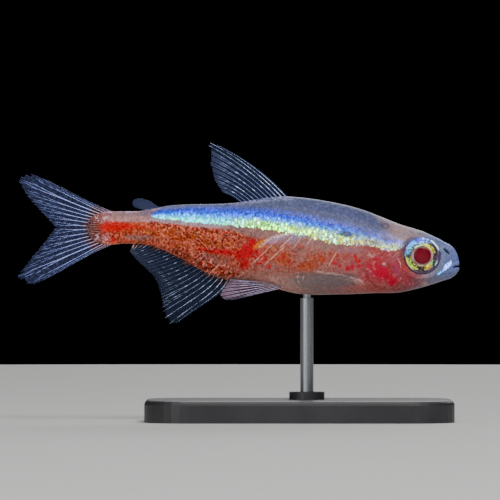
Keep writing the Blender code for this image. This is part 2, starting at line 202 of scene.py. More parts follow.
def settle(obj, material, slot, *nodes):
    """Finish a piece: its material, the nodes it stands for and the body it rides on. The slot argument is
    not used.
    """
    only(obj)
    bpy.ops.object.shade_smooth()
    coat(obj, material)
    if nodes:
        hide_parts(*nodes)
    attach(obj, "root")


# Flesh: the surface that the skin follows
def flesh(x, turn):
    """Half width and height of the flesh at x; turn is in radians, from the belly to the back."""
    into = np.clip((x - (SNOUT - SNOUT_ROUND)) / SNOUT_ROUND, 0.0, 1.0)
    kept = (1.0 - into ** SNOUT_BLUNT) ** (1.0 / SNOUT_BLUNT)
    level = smooth(WIDEST, x)
    edge = np.where(turn >= 0, smooth(BACK, x), smooth(BELLY, x))
    z = level + (edge - level) * kept * np.abs(np.sin(turn))
    y = smooth(HALF_WIDTH, x) * kept * np.maximum(np.cos(turn), 0.0) ** FULLNESS
    return y, z


def flank_y(x, z):
    """Half width of the body at x and height z."""
    level = smooth(WIDEST, x)
    edge = np.where(z > level, smooth(BACK, x), smooth(BELLY, x))
    sine = np.clip((z - level) / (edge - level), 0.0, 1.0)
    return smooth(HALF_WIDTH, x) * np.sqrt(1.0 - sine * sine) ** FULLNESS


SCALE_PITCH = 0.86
SCALE_ROWS = 12
SCALE_RELIEF = 0.018
SCALE_CREST = 0.86
SCALE_ROUND = 1.1
MOUTH_LINE = [(20.3, -1.9), (19.75, -1.95), (19.4, -2.08), (19.2, -2.25)]
MAXILLA = [(19.25, -1.55), (18.9, -1.95), (18.1, -2.6)]
MAXILLA_SHEEN = [
    (19.24, -1.44, 0.05), (19.1, -1.7, 0.15), (18.86, -1.94, 0.22), (18.68, -2.14, 0.14),
    (18.56, -2.24, 0.05), (18.42, -2.36, 0.09), (18.0, -2.64, 0.04)]
COVER_FRONT = [(13.7, 0.3), (14.35, -0.9), (14.3, -2.2), (13.5, -3.3), (12.6, -3.9)]
NOSTRIL = [(18.66, -0.4, 0.09), (18.84, -0.54, 0.13), (19.12, -0.8, 0.05)]


def gill_distance(x, turn):
    """How far x lies behind the rear edge of the gill cover, along the fish."""
    return smooth([(math.radians(t), g) for t, g in GILL_EDGE], turn) - x


def scale_place(x, turn):
    """Place within a scale: 0 at its front, 1 at its free edge."""
    row = (turn / math.pi + 0.5) * SCALE_ROWS * 2
    number = np.floor(row)
    across = row - number - 0.5
    phase = (SNOUT - x) / SCALE_PITCH + 0.5 * (number % 2) + SCALE_ROUND * across ** 2
    return phase - np.floor(phase)


def relief(x, z, turn):
    """Height of the skin's relief over the plain flesh."""
    place = scale_place(x, turn)
    behind = gill_distance(x, turn)
    off_keels = ease(0.02, 0.14, 1.0 - np.abs(turn) * 2 / math.pi)
    scaled = ease(0.0, 0.8, behind) * ease(-13.4, -12.6, x) * off_keels
    scale = np.where(place < SCALE_CREST, place / SCALE_CREST, (1.0 - place) / (1.0 - SCALE_CREST))
    height = SCALE_RELIEF * scaled * scale

    low_flank = ease(-4.1, -3.5, z) * ease(0.9, 0.1, z)
    cover = 0.05 * ease(0.16, -0.08, behind) * ease(-1.6, -0.2, -np.abs(behind))
    height += (cover - 0.02 * hump(behind - 0.14, 0.14)) * low_flank
    height -= 0.03 * hump(to_line(x, z, COVER_FRONT), 0.12) * low_flank
    height += 0.06 * hump(from_eye(x, z) - EYE_RADIUS - SOCKET_WIDTH, 0.22)

    mouth, maxilla = to_line(x, z, MOUTH_LINE), to_line(x, z, MAXILLA)
    pit = to_line(x, z, [q[:2] for q in NOSTRIL])
    height += 0.09 * hump(mouth - 0.24, 0.15) * ease(18.9, 19.6, x)
    height -= 0.3 * hump(mouth, 0.075) * ease(19.3, 19.85, x)
    height += 0.045 * hump(maxilla, 0.16) - 0.03 * hump(maxilla - 0.26, 0.07)
    height += 0.025 * hump(pit - 0.22, 0.08) - 0.14 * stroke(x, z, NOSTRIL)
    return height


def from_eye(x, z):
    """Distance from the middle of the eye, seen from the side."""
    return np.hypot(x - EYE_X, z - EYE_HEIGHT)


def seat_eye(x, y, z):
    """The flank is hollowed into a shallow seat round the eye."""
    seat = EYE_FRONT - EYE_STANDS_OUT
    kept = ease(EYE_RADIUS - 0.02, EYE_RADIUS + SOCKET_WIDTH, from_eye(x, z))
    return np.where(y > seat, seat + (y - seat) * kept, y)


# Iridescent band: its upper and lower edges
BAND_TOP = [
    (-7.95, 2.72), (-7.1, 3.2), (-5.3, 3.4), (-3.5, 3.52), (-0.8, 3.45), (2.0, 3.3), (4.7, 2.95),
    (8.1, 2.3), (10.1, 1.95), (11.9, 1.42), (13.7, 0.95), (14.9, 0.5)]
BAND_FOOT = [
    (-7.95, 2.6), (-7.5, 2.45), (-6.2, 2.3), (-3.5, 2.0), (0.1, 1.68), (2.9, 1.36), (4.7, 1.0),
    (6.8, 0.59), (8.1, 0.22), (9.7, 0.03), (11.2, -0.06), (12.1, -0.15), (12.7, -0.32), (13.5, -0.56),
    (14.4, -0.45), (14.9, -0.2)]

# Pigment patches, laid on in this order: (x, height, half length, half height, lean in degrees, strength).
# The pale spots are partly painted glints, partly pale patches of skin
PATCHES = {
    "flame": [
        (-9.6, 1.65, 1.4, 0.42, 0, 1.0), (-7.6, 1.55, 1.1, 0.3, -5, 0.7), (-10.6, 0.6, 0.8, 0.2, 0, 0.5),
        (-6.0, 1.2, 1.0, 0.3, -8, 0.4)],
    "lavender": [
        (3.5, 0.55, 1.3, 0.3, 22, 0.8), (5.3, 0.8, 1.0, 0.3, 8, 0.8), (4.7, 0.3, 0.9, 0.35, 20, 0.5),
        (10.0, -0.5, 1.5, 0.3, 0, 0.35), (13.7, -1.35, 0.7, 0.35, 10, 0.4)],
    "olive": [
        (-5.2, 0.95, 2.8, 0.6, -6, 0.75), (-8.4, 0.55, 2.0, 0.4, 0, 0.7), (-2.6, 0.2, 2.0, 0.45, -5, 0.75),
        (-4.0, -0.4, 1.6, 0.4, -8, 0.5), (3.9, -0.1, 0.5, 0.5, 0, 0.4), (7.9, -0.65, 0.9, 0.3, 0, 0.4),
        (5.4, -0.2, 0.4, 0.5, 0, 0.35)],
    "orange": [
        (-9.9, 1.6, 2.0, 0.5, 0, 1.0), (-7.4, 1.25, 2.4, 0.5, -5, 0.8), (-4.5, 0.5, 3.0, 0.9, -8, 0.5),
        (-1.2, 0.2, 1.7, 0.6, -5, 0.45), (3.3, -1.0, 0.8, 0.7, 0, 0.6), (4.15, -1.25, 0.8, 0.8, 0, 0.9),
        (4.3, -0.3, 0.5, 0.6, 0, 0.45), (6.2, -1.9, 1.1, 0.5, 12, 0.95), (7.2, -1.2, 1.0, 0.5, 0, 0.7),
        (8.6, -1.05, 0.7, 0.6, 0, 0.6), (9.7, -1.0, 0.6, 0.5, 0, 0.45), (2.6, -0.3, 0.5, 0.5, 0, 0.5)],
    "rose": [
        (13.0, -2.0, 1.7, 1.6, 0, 0.8), (11.7, -2.4, 0.9, 1.2, 0, 0.5), (15.0, -3.0, 1.3, 1.0, 25, 0.6),
        (9.8, -1.5, 1.5, 0.9, 0, 0.35), (14.7, -1.5, 0.7, 1.0, 0, 0.4)],
    "magenta": [
        (14.3, -2.2, 0.26, 0.55, 8, 1.0), (13.1, -1.9, 0.2, 0.2, 0, 0.7), (11.9, -2.5, 0.3, 0.2, 0, 0.5)],
    "grey": [
        (-9.0, 0.7, 1.3, 0.28, 0, 0.65), (7.3, -3.2, 3.1, 0.62, 3, 0.9), (2.6, -2.2, 1.4, 0.5, 20, 0.4),
        (-2.6, -1.2, 1.8, 0.4, -18, 0.5), (-9.8, 2.65, 2.2, 0.3, 0, 0.7)],
    "scarlet": [
        (-11.4, 1.62, 1.0, 0.46, 0, 1.0), (-10.2, 1.65, 1.2, 0.32, 0, 0.95),
        (-11.4, 0.45, 0.4, 0.25, 0, 0.8), (-12.3, 1.55, 0.5, 0.2, 0, 1.0), (-8.6, 1.6, 1.3, 0.22, 0, 0.5),
        (-11.8, 2.15, 0.3, 0.15, 0, 0.6)],
    "red": [
        (-1.3, -0.65, 1.4, 0.26, -4, 0.95), (-3.1, -0.42, 0.9, 0.14, -5, 0.6),
        (0.75, -0.6, 0.85, 0.75, 35, 1.0), (1.3, 0.1, 0.5, 0.5, 0, 0.9), (0.2, -0.9, 0.7, 0.45, 0, 0.95),
        (0.55, -1.75, 0.55, 0.45, 25, 0.85), (1.9, -0.75, 0.45, 0.5, 35, 0.6),
        (2.4, -1.25, 0.3, 0.32, 0, 0.7), (2.8, -1.9, 0.28, 0.28, 0, 0.75), (1.9, -1.75, 0.3, 0.25, 0, 0.6),
        (3.5, -2.25, 0.2, 0.2, 0, 0.65), (3.6, -1.15, 0.22, 0.3, 0, 0.7), (4.05, -1.0, 0.2, 0.3, 0, 0.65),
        (4.65, -1.55, 0.24, 0.22, 0, 0.75), (5.6, 0.0, 0.2, 0.22, 0, 0.6), (5.0, -0.5, 0.18, 0.25, 0, 0.5),
        (7.65, -1.3, 0.1, 0.3, 0, 0.5), (10.6, -1.2, 0.18, 0.4, 12, 0.9), (10.9, -1.45, 0.14, 0.3, -20, 0.8)],
    "crimson": [
        (8.66, -1.63, 0.32, 0.17, 0, 0.95), (9.2, -1.9, 0.2, 0.17, 0, 0.9),
        (9.85, -2.12, 0.22, 0.22, 0, 1.0), (10.3, -2.0, 0.2, 0.26, 0, 1.0),
        (11.0, -1.9, 0.36, 0.16, 14, 0.9), (9.4, -1.3, 0.14, 0.22, 0, 0.5), (6.7, -1.1, 0.14, 0.25, 0, 0.5),
        (12.95, -2.55, 0.85, 0.6, -25, 1.0), (12.3, -2.0, 0.8, 0.6, -10, 0.6),
        (13.9, -3.25, 0.5, 0.42, -10, 1.0), (12.4, -1.4, 0.7, 0.35, 10, 0.45),
        (14.8, -1.9, 0.45, 0.8, 10, 0.5), (15.2, -3.1, 0.7, 0.5, 20, 0.35),
        (15.6, -3.6, 0.7, 0.3, 20, 0.35), (11.6, -2.9, 0.5, 0.5, 0, 0.4)],
    "gold": [
        (2.05, 0.12, 0.5, 0.3, 25, 1.0), (1.55, -0.15, 0.3, 0.25, 30, 0.5), (3.7, -1.7, 0.35, 0.3, 0, 0.4),
        (3.3, -0.3, 0.35, 0.25, 0, 0.5), (-8.3, 1.15, 0.6, 0.2, 0, 0.4)],
    "pale": [
        (10.3, -3.25, 1.1, 0.16, -12, 0.7), (13.15, -1.72, 0.16, 0.13, 0, 1.0),
        (13.5, -3.2, 0.1, 0.1, 0, 0.45), (12.2, -1.85, 0.12, 0.16, 20, 0.4),
        (14.7, -2.3, 0.1, 0.3, 10, 0.4), (12.2, -0.9, 0.9, 0.3, 5, 0.35), (14.4, -0.9, 0.5, 0.5, 0, 0.3),
        (14.6, -3.1, 0.2, 0.12, 30, 0.5), (5.3, -2.9, 0.25, 0.4, 20, 0.5), (4.0, -3.4, 2.0, 0.35, -20, 0.3),
        (16.9, -3.5, 0.35, 0.2, -25, 0.7), (7.6, -2.5, 1.0, 0.16, -8, 0.4), (-12.3, 2.6, 0.5, 0.3, 0, 0.5),
        (-12.3, 0.6, 0.5, 0.3, 0, 0.5), (0.7, -3.0, 0.8, 0.25, -20, 0.4)],
}
# Fine bright lines over the ribs and the seams of the muscles: (x, height, half width)
PALE_LINES = [
    [(1.9, -0.15, 0.07), (2.5, 0.35, 0.11), (3.2, 0.72, 0.12), (4.2, 0.95, 0.09), (5.0, 1.0, 0.05)],
    [(5.45, -2.5, 0.06), (5.3, -3.1, 0.07), (5.6, -3.6, 0.05)], [(5.95, -2.6, 0.04), (5.8, -3.2, 0.05)],
    [(-2.4, -1.3, 0.03), (-3.2, -2.05, 0.03)], [(-1.7, -1.7, 0.03), (-2.4, -2.4, 0.03)],
    [(-3.3, -1.1, 0.03), (-3.9, -1.7, 0.03)], [(-0.7, -2.1, 0.03), (-1.3, -2.8, 0.03)],
    [(0.4, -2.5, 0.04), (-0.1, -3.0, 0.03)], [(7.2, -2.45, 0.04), (9.4, -2.72, 0.06), (11.2, -3.25, 0.08)],
    [(14.4, -1.3, 0.02), (14.66, -1.7, 0.03), (14.66, -2.1, 0.02)]]
# Hair lines along the ribs, from (x, height) to (x, height)
RIB_LINES = [
    ((3.9, 0.85), (1.1, -1.85)), ((4.3, 0.0), (2.2, -1.95)), ((5.0, 0.9), (3.6, -0.4)),
    ((5.75, 0.85), (4.9, -0.4)), ((6.8, 0.8), (5.95, -0.2)), ((8.95, -0.5), (7.7, -2.65))]
RIB_LINE_WIDTH = 0.055
# Dull spots inside the band: (x, height, half length, half height, lean, strength)
BAND_GAPS = [
    (9.7, 0.98, 0.75, 0.24, -6, 1.0), (12.3, 0.25, 0.3, 0.2, 0, 0.7), (11.6, -0.02, 0.35, 0.16, 0, 0.6),
    (8.2, 0.35, 0.5, 0.1, -10, 0.5), (13.2, 0.5, 0.35, 0.16, -15, 0.6)]
# The band's round rear end: its middle height and its half height; and where the flank begins behind it
BAND_START = (2.75, 0.45)
FLANK_TOP = 2.45
# Places with few of the dark dots, in the same form as the spots
DOTLESS = [(-1.3, -1.15, 1.3, 0.26, -8, 0.75), (0.4, -2.3, 1.2, 0.35, -25, 0.6)]

# How full the ovals are, and how fast they fade
PATCH_FULLNESS = 1.4
PATCH_FADE = 0.7


def patch(x, z, spots):
    """Strength of a pigment: the strongest of its soft, leaning ovals at each point."""
    total = np.zeros_like(x)
    for cx, cz, half_long, half_tall, lean, strength in spots:
        c, s = math.cos(math.radians(lean)), math.sin(math.radians(lean))
        u = ((x - cx) * c + (z - cz) * s) / half_long
        v = ((z - cz) * c - (x - cx) * s) / half_tall
        total = np.maximum(total, strength * np.exp(-(u * u + v * v) ** PATCH_FULLNESS * PATCH_FADE))
    return total


SKIN_SEGMENTS = 216
SKIN_RINGS = 440
SNOUT_RINGS = 26
RING_CROWDING = 0.35
TAIL_SCALLOPS = 0.25
STEM_START = -8.0
TINY = 1e-9


def skin_points(co):
    """x and turn of each point of a unit sphere whose poles become the snout and the tail."""
    ring = np.arccos(np.clip(co[:, 2], -1, 1)) / math.pi * SKIN_RINGS
    tip = SNOUT - SNOUT_ROUND * (1 - np.cos(np.clip(ring / SNOUT_RINGS, 0, 1) * math.pi / 2))
    behind = np.clip((ring - SNOUT_RINGS) / (SKIN_RINGS - SNOUT_RINGS), 0, 1)
    eased = behind - RING_CROWDING * np.sin(2 * math.pi * behind) / (2 * math.pi)
    turn = np.arcsin(np.clip(co[:, 0] / np.maximum(np.hypot(co[:, 0], co[:, 1]), TINY), -1, 1))
    end = smooth([(math.radians(t), x) for t, x in TAIL_MARGIN], turn)
    end = end + TAIL_SCALLOPS * np.cos(turn * 2 * TAIL_RAYS) * np.cos(turn)
    straight = tip - (SNOUT - SNOUT_ROUND - BACK[0][0]) * eased
    x = straight + (end - BACK[0][0]) * ease(STEM_START, BACK[0][0], straight)
    return x, turn


def skin_marks(x, z, turn):
    """The numbers that the skin's material reads at each point."""
    foot, top = smooth(BAND_FOOT, x), smooth(BAND_TOP, x)
    over_belly = z - smooth(BELLY, x)
    behind = gill_distance(x, turn)
    start = (x - BAND_TOP[0][0]) - 0.5 * ((z - BAND_START[0]) / BAND_START[1]) ** 2
    under = np.where(x < BAND_FOOT[0][0], FLANK_TOP, foot) - z
    rear = ease(-12.4, -11.6, x) * ease(1.8, -0.4, x)
    margin = ease(0.02, 0.28, over_belly - 0.25 * ease(-4.0, -1.5, x))
    dots = np.maximum(rear, 0.5 * ease(10.5, 7.5, x) * ease(-0.5, 0.5, x) * ease(-2.9, -2.2, z))
    dots = dots * ease(0.25, 0.5, under - 0.5 * ease(-1.5, 2.0, x)) * margin
    dots = dots * (1.0 - patch(x, z, DOTLESS))
    marks = {
        "band": (z - foot) / (top - foot),
        "inside": np.where(x < -5.0, ease(-0.05, 0.2, start), ease(15.1, 14.6, x)),
        "turn": turn * 2 / math.pi,
        "scale": scale_place(x, turn),
        "scaled": ease(0.0, 0.6, behind) * ease(-13.2, -12.4, x),
        "lines": np.max([stroke(x, z, line) for line in PALE_LINES], axis=0),
        "dull": patch(x, z, BAND_GAPS),
        "under": under,
        "dots": np.maximum(dots, 0.35 * rear * ease(-7.6, -8.6, x) * ease(-0.5, -0.1, under)),
        "over_belly": over_belly,
        "fan": 0.5 - 0.5 * np.cos(turn * 2 * TAIL_RAYS),
        # Where shade is painted into the mouth's slit and the nostril's pit
        "mouth": hump(to_line(x, z, MOUTH_LINE), 0.09) * ease(19.35, 19.8, x),
        "pits": stroke(x, z, NOSTRIL),
        "maxilla": stroke(x, z, MAXILLA_SHEEN),
        "seam": hump(behind - 0.08, 0.09) * ease(-3.6, -3.0, z) * ease(0.4, -0.2, z),
        "ring": hump(np.hypot((x - 13.3) / 1.5, z - 1.72) - 0.2, 0.07)}
    marks.update((name, patch(x, z, spots)) for name, spots in PATCHES.items())
    return marks


def skin():
    """One closed skin over head, jaw, gill covers, trunk and tail stem."""
    deselect()
    bpy.ops.mesh.primitive_uv_sphere_add(segments=SKIN_SEGMENTS, ring_count=SKIN_RINGS, radius=1.0)
    obj = new_piece("skin")
    co = positions(obj)
    x, turn = skin_points(co)
    side = np.where(co[:, 1] > 0, 1.0, -1.0)

    step = 0.02
    y, z = flesh(x, turn)
    y_x, z_x = flesh(x - step, turn)
    y_t, z_t = flesh(x, turn - step * np.where(turn > 0, 1, -1))
    ahead = np.stack([np.full_like(x, -step), y_x - y, z_x - z], axis=-1)
    round_ = np.stack([np.zeros_like(x), y_t - y, z_t - z], axis=-1)
    normal = np.cross(ahead, round_)
    normal *= np.where(turn > 0, -1.0, 1.0)[:, None]
    length = np.linalg.norm(normal, axis=1)[:, None]
    normal = np.where(length > TINY, normal / np.maximum(length, TINY), [[1.0, 0.0, 0.0]])
    at = np.stack([x, y, z], axis=-1) + normal * relief(x, z, turn)[:, None]
    at[:, 1] = seat_eye(at[:, 0], np.maximum(at[:, 1], 0.0), at[:, 2])
    at[:, 0] = np.minimum(at[:, 0], SNOUT)
    at[:, 1] *= side
    at[np.abs(np.abs(turn) - math.pi / 2) < 1e-6, 1] = 0.0
    at[co[:, 2] < -1 + 1e-7] = (min(end for _, end in TAIL_MARGIN), 0.0, WIDEST[0][1])
    move_points(obj, world(at))
    for name, values in skin_marks(x, z, turn).items():
        keep(obj, name, values)
    face_outwards(obj)
    settle(obj, skin_finish(), "skin", "head", "lower_jaw", "gill_cover_right", "gill_cover_left", "trunk",
           "tail_stem")


# Materials
GLOW = 4.0
BLACK = (0, 0, 0)
# Fitted to the soft view: light = gain * (screen / (white - screen)) ** power, with more colour in it
VIEW_GAIN = 0.206
VIEW_WHITE = 256.5
VIEW_POWER = 1.03
VIEW_COLOUR = 1.14


def rgb(red, green, blue):
    """Linear light that the soft view shows as about this screen colour, 0 to 255."""
    light = [VIEW_GAIN * (v / (VIEW_WHITE - v)) ** VIEW_POWER for v in (red, green, blue)]
    mean = sum(light) / 3
    return tuple(max(mean + (v - mean) * VIEW_COLOUR, 0.0) for v in light) + (1.0,)


def bright(red, green, blue):
    """The same as a share of GLOW, for colours too bright for a plain surface."""
    return tuple(v / GLOW for v in rgb(red, green, blue)[:3]) + (1.0,)


class Value:
    """A socket in a material, with arithmetic that adds Math nodes."""

    def __init__(self, paint, socket):
        self.paint = paint
        self.socket = socket

    def maths(self, operation, *inputs, clamp=False):
        settings = {"operation": operation, "use_clamp": clamp}
        return self.paint.add("ShaderNodeMath", settings, dict(enumerate(inputs)))

    def __add__(self, other):
        return self.maths("ADD", self, other)

    __radd__ = __add__

    def __sub__(self, other):
        return self.maths("SUBTRACT", self, other)

    def __rsub__(self, other):
        return self.maths("SUBTRACT", other, self)

    def __mul__(self, other):
        return self.maths("MULTIPLY", self, other)

    __rmul__ = __mul__

    def __truediv__(self, other):
        return self.maths("DIVIDE", self, other)

    def __pow__(self, other):
        return self.maths("POWER", self, other)

    def most(self, other):
        return self.maths("MAXIMUM", self, other)

    def clamp(self):
        return self.maths("ADD", self, 0.0, clamp=True)

    def fraction(self):
        return self.maths("FRACT", self)

    def absolute(self):
        return self.maths("ABSOLUTE", self)


class Paint:
    """A material that is being mixed."""

    def __init__(self, name, **constants):
        self.material = bpy.data.materials.new(name)
        self.material.use_nodes = True
        self.nodes = self.material.node_tree.nodes
        self.links = self.material.node_tree.links
        self.shader = self.nodes["Principled BSDF"]
        for socket, value in constants.items():
            self.shader.inputs[socket.replace("_", " ")].default_value = value
        self.place = Value(self, self.nodes.new("ShaderNodeTexCoord").outputs["Object"])

    def add(self, kind, settings, sockets, output=0):
        """A node of that kind: its settings first, then its sockets' values or links."""
        node = self.nodes.new(kind)
        for name, setting in settings.items():
            if name == "stops":
                self._stops(node.color_ramp, setting)
            else:
                setattr(node, name, setting)
        for name, value in sockets.items():
            if isinstance(value, Value):
                self.links.new(value.socket, node.inputs[name])
            else:
                node.inputs[name].default_value = value
        return Value(self, node.outputs[output])

    @staticmethod
    def _stops(ramp, stops):
        while len(ramp.elements) < len(stops):
            ramp.elements.new(0.5)
        for element, (position, colour) in zip(ramp.elements, stops):
            element.position = position
            element.color = colour

    def read(self, name):
        return self.add("ShaderNodeAttribute", {"attribute_name": name}, {}, "Fac")

    def split(self, vector):
        node = self.add("ShaderNodeSeparateXYZ", {}, {0: vector})
        return [Value(self, node.socket.node.outputs[k]) for k in range(3)]

    def side_on(self):
        """x and the height over the swim line, in millimetres."""
        x, _, z = self.split(self.place)
        return x / MM, z / MM - SWIM_LINE / MM

    def ramp(self, factor, stops, shade=rgb):
        """Colours along a line, from (position, screen colour) stops."""
        lit = [(position, shade(*colour)) for position, colour in stops]
        return self.add("ShaderNodeValToRGB", {"stops": lit}, {0: factor})

    def mix(self, low, high, factor, shade=rgb):
        """Two colours mixed: each is a link, or screen numbers that shade turns into light."""
        low, high = [colour if isinstance(colour, Value) else shade(*colour) for colour in (low, high)]
        return self.add("ShaderNodeMix", {"data_type": "RGBA"}, {0: factor, 6: low, 7: high}, 2)

    def layers(self, colour, layers, shade=rgb):
        """The colour with each (colour, share) laid over it in turn."""
        for layer, share in layers:
            colour = self.mix(colour, layer, share, shade)
        return colour

    def step(self, low, high, value):
        """0 at low, 1 at high and smooth between."""
        if low > high:
            return 1.0 - self.step(high, low, value)
        return self.add("ShaderNodeMapRange", {"interpolation_type": "SMOOTHSTEP", "clamp": True},
                        {0: value, 1: low, 2: high, 3: 0.0, 4: 1.0})

    def noise(self, scale, detail=2.0, rough=0.5, stretch=None, vector=None):
        vector = vector or self.stretched(stretch)
        return self.add("ShaderNodeTexNoise", {}, {"Vector": vector, "Scale": scale, "Detail": detail,
                                                   "Roughness": rough})

    def cells(self, scale, output="Distance", stretch=None, randomness=1.0):
        return self.add("ShaderNodeTexVoronoi", {}, {"Vector": self.stretched(stretch), "Scale": scale,
                                                     "Randomness": randomness}, output)

    def stretched(self, stretch):
        if stretch is None:
            return self.place
        return self.add("ShaderNodeMapping", {}, {"Vector": self.place, "Scale": stretch})

    def out(self, **sockets):
        for name, value in sockets.items():
            self.links.new(value.socket, self.shader.inputs[name.replace("_", " ")])
        return self.material

    def bump(self, height, strength, distance):
        return self.add("ShaderNodeBump", {}, {"Strength": strength, "Distance": distance, "Height": height})


# Tones along the fish, from where they start to the snout
TONES_START = -14.0


def along_fish(stops):
    """Ramp stops from (x in millimetres, colour), over the fish's length without its tail fin."""
    return [((x - TONES_START) / (SNOUT - TONES_START), colour) for x, colour in stops]


UPPER = [
    (-13.4, (180, 124, 120)), (-11.0, (180, 126, 120)), (-9.3, (146, 108, 116)), (-7.8, (122, 122, 152)),
    (-4.0, (101, 109, 146)), (4.0, (91, 99, 137)), (9.0, (80, 87, 134)), (12.3, (90, 95, 134)),
    (13.4, (156, 138, 146)), (14.8, (176, 154, 154)), (16.8, (158, 150, 162)), (18.4, (110, 130, 174)),
    (20.0, (128, 148, 196))]
LOWER = [
    (-13.4, (150, 90, 80)), (-12.2, (200, 60, 40)), (-10.5, (206, 80, 38)), (-8.0, (180, 68, 34)),
    (-5.0, (144, 58, 32)), (-2.0, (138, 66, 46)), (0.5, (152, 90, 74)), (2.2, (160, 114, 104)),
    (6.5, (168, 128, 120)), (10.0, (174, 120, 118)), (12.5, (176, 96, 96)), (14.6, (168, 102, 104)),
    (16.0, (144, 114, 120)), (17.6, (146, 146, 160)), (19.0, (130, 144, 184)), (20.0, (140, 154, 196))]
BELLY_TONE = [
    (-13.4, (190, 120, 100)), (-9.0, (196, 92, 60)), (-5.0, (142, 62, 42)), (-1.5, (160, 104, 88)),
    (2.0, (202, 168, 158)), (4.2, (196, 168, 160)), (7.0, (168, 148, 146)), (10.0, (186, 140, 138)),
    (12.5, (188, 116, 112)), (15.0, (156, 110, 114)), (17.0, (156, 150, 162)), (20.0, (146, 154, 182))]
BAND_REAR = [
    (0.0, (160, 250, 236)), (0.28, (122, 238, 242)), (0.5, (84, 152, 234)), (0.74, (78, 114, 216)),
    (1.0, (92, 104, 170))]
BAND_MIDDLE = [
    (0.0, (210, 234, 152)), (0.26, (196, 238, 182)), (0.4, (130, 222, 228)), (0.56, (90, 188, 242)),
    (0.69, (84, 140, 234)), (0.82, (104, 124, 212)), (1.0, (116, 120, 178))]
BAND_FRONT = [
    (0.0, (236, 222, 136)), (0.36, (228, 236, 166)), (0.52, (142, 218, 220)), (0.68, (102, 174, 232)),
    (0.82, (106, 126, 208)), (1.0, (106, 112, 166))]
BAND_HEAD = [
    (0.0, (216, 210, 176)), (0.3, (214, 222, 196)), (0.55, (170, 200, 226)), (0.75, (146, 150, 208)),
    (1.0, (142, 136, 176))]
# Colour of each pigment, how far its grains scatter, its softness and its strength; pale lays painted glints
# as well as pale patches of skin
PIGMENTS = [
    ("lavender", (182, 168, 192), 0.5, 0.4, 0.7), ("olive", (134, 80, 34), 0.8, 0.3, 0.5),
    ("orange", (184, 76, 20), 0.8, 0.4, 0.8), ("flame", (214, 82, 10), 0.7, 0.3, 0.95),
    ("rose", (176, 30, 50), 0.6, 0.7, 0.68), ("grey", (160, 147, 146), 0.5, 0.4, 0.75),
    ("scarlet", (200, 0, 12), 0.8, 0.2, 0.97), ("red", (194, 0, 42), 0.8, 0.2, 0.97),
    ("crimson", (194, 0, 62), 0.4, 0.45, 0.95), ("magenta", (178, 70, 118), 0.6, 0.4, 0.7),
    ("gold", (206, 150, 40), 0.7, 0.25, 0.9), ("pale", (204, 180, 174), 0.9, 0.25, 0.75)]
REAR_GRAINS = [
    (0.0, (214, 170, 150)), (0.12, (208, 128, 88)), (0.32, (200, 70, 20)), (0.54, (156, 54, 16)),
    (0.7, (104, 22, 10)), (1.0, (84, 6, 2))]
FRONT_GRAINS = [
    (0.0, (200, 160, 152)), (0.3, (180, 134, 126)), (0.6, (166, 116, 106)), (0.85, (150, 100, 88)),
    (1.0, (138, 70, 64))]
BACK_GRAINS = [(0.0, (184, 154, 160)), (0.35, (138, 110, 128)), (0.7, (118, 88, 98)), (1.0, (92, 46, 46))]
TAIL_GRAINS = [
    (0.0, (206, 150, 136)), (0.2, (170, 70, 50)), (0.5, (122, 42, 34)), (0.8, (80, 30, 32)),
    (1.0, (46, 20, 26))]
FLAT = (1.0, 0.0, 1.0)
FACET_STRETCH = (1.2, 0.0, 0.85)
FACET_SCALE = 4700


def hair_line(p, x, z, start, end):
    """1 on a thin straight line between two places, fading at both ends."""
    length = math.dist(start, end)
    ahead = ((end[0] - start[0]) / length, (end[1] - start[1]) / length)
    along_it = (x - start[0]) * ahead[0] + (z - start[1]) * ahead[1]
    off = ((x - start[0]) * ahead[1] - (z - start[1]) * ahead[0]).absolute()
    kept = p.step(0.0, 0.3, along_it) * p.step(length, length - 0.6, along_it)
    return p.step(RIB_LINE_WIDTH, 0.01, off) * kept


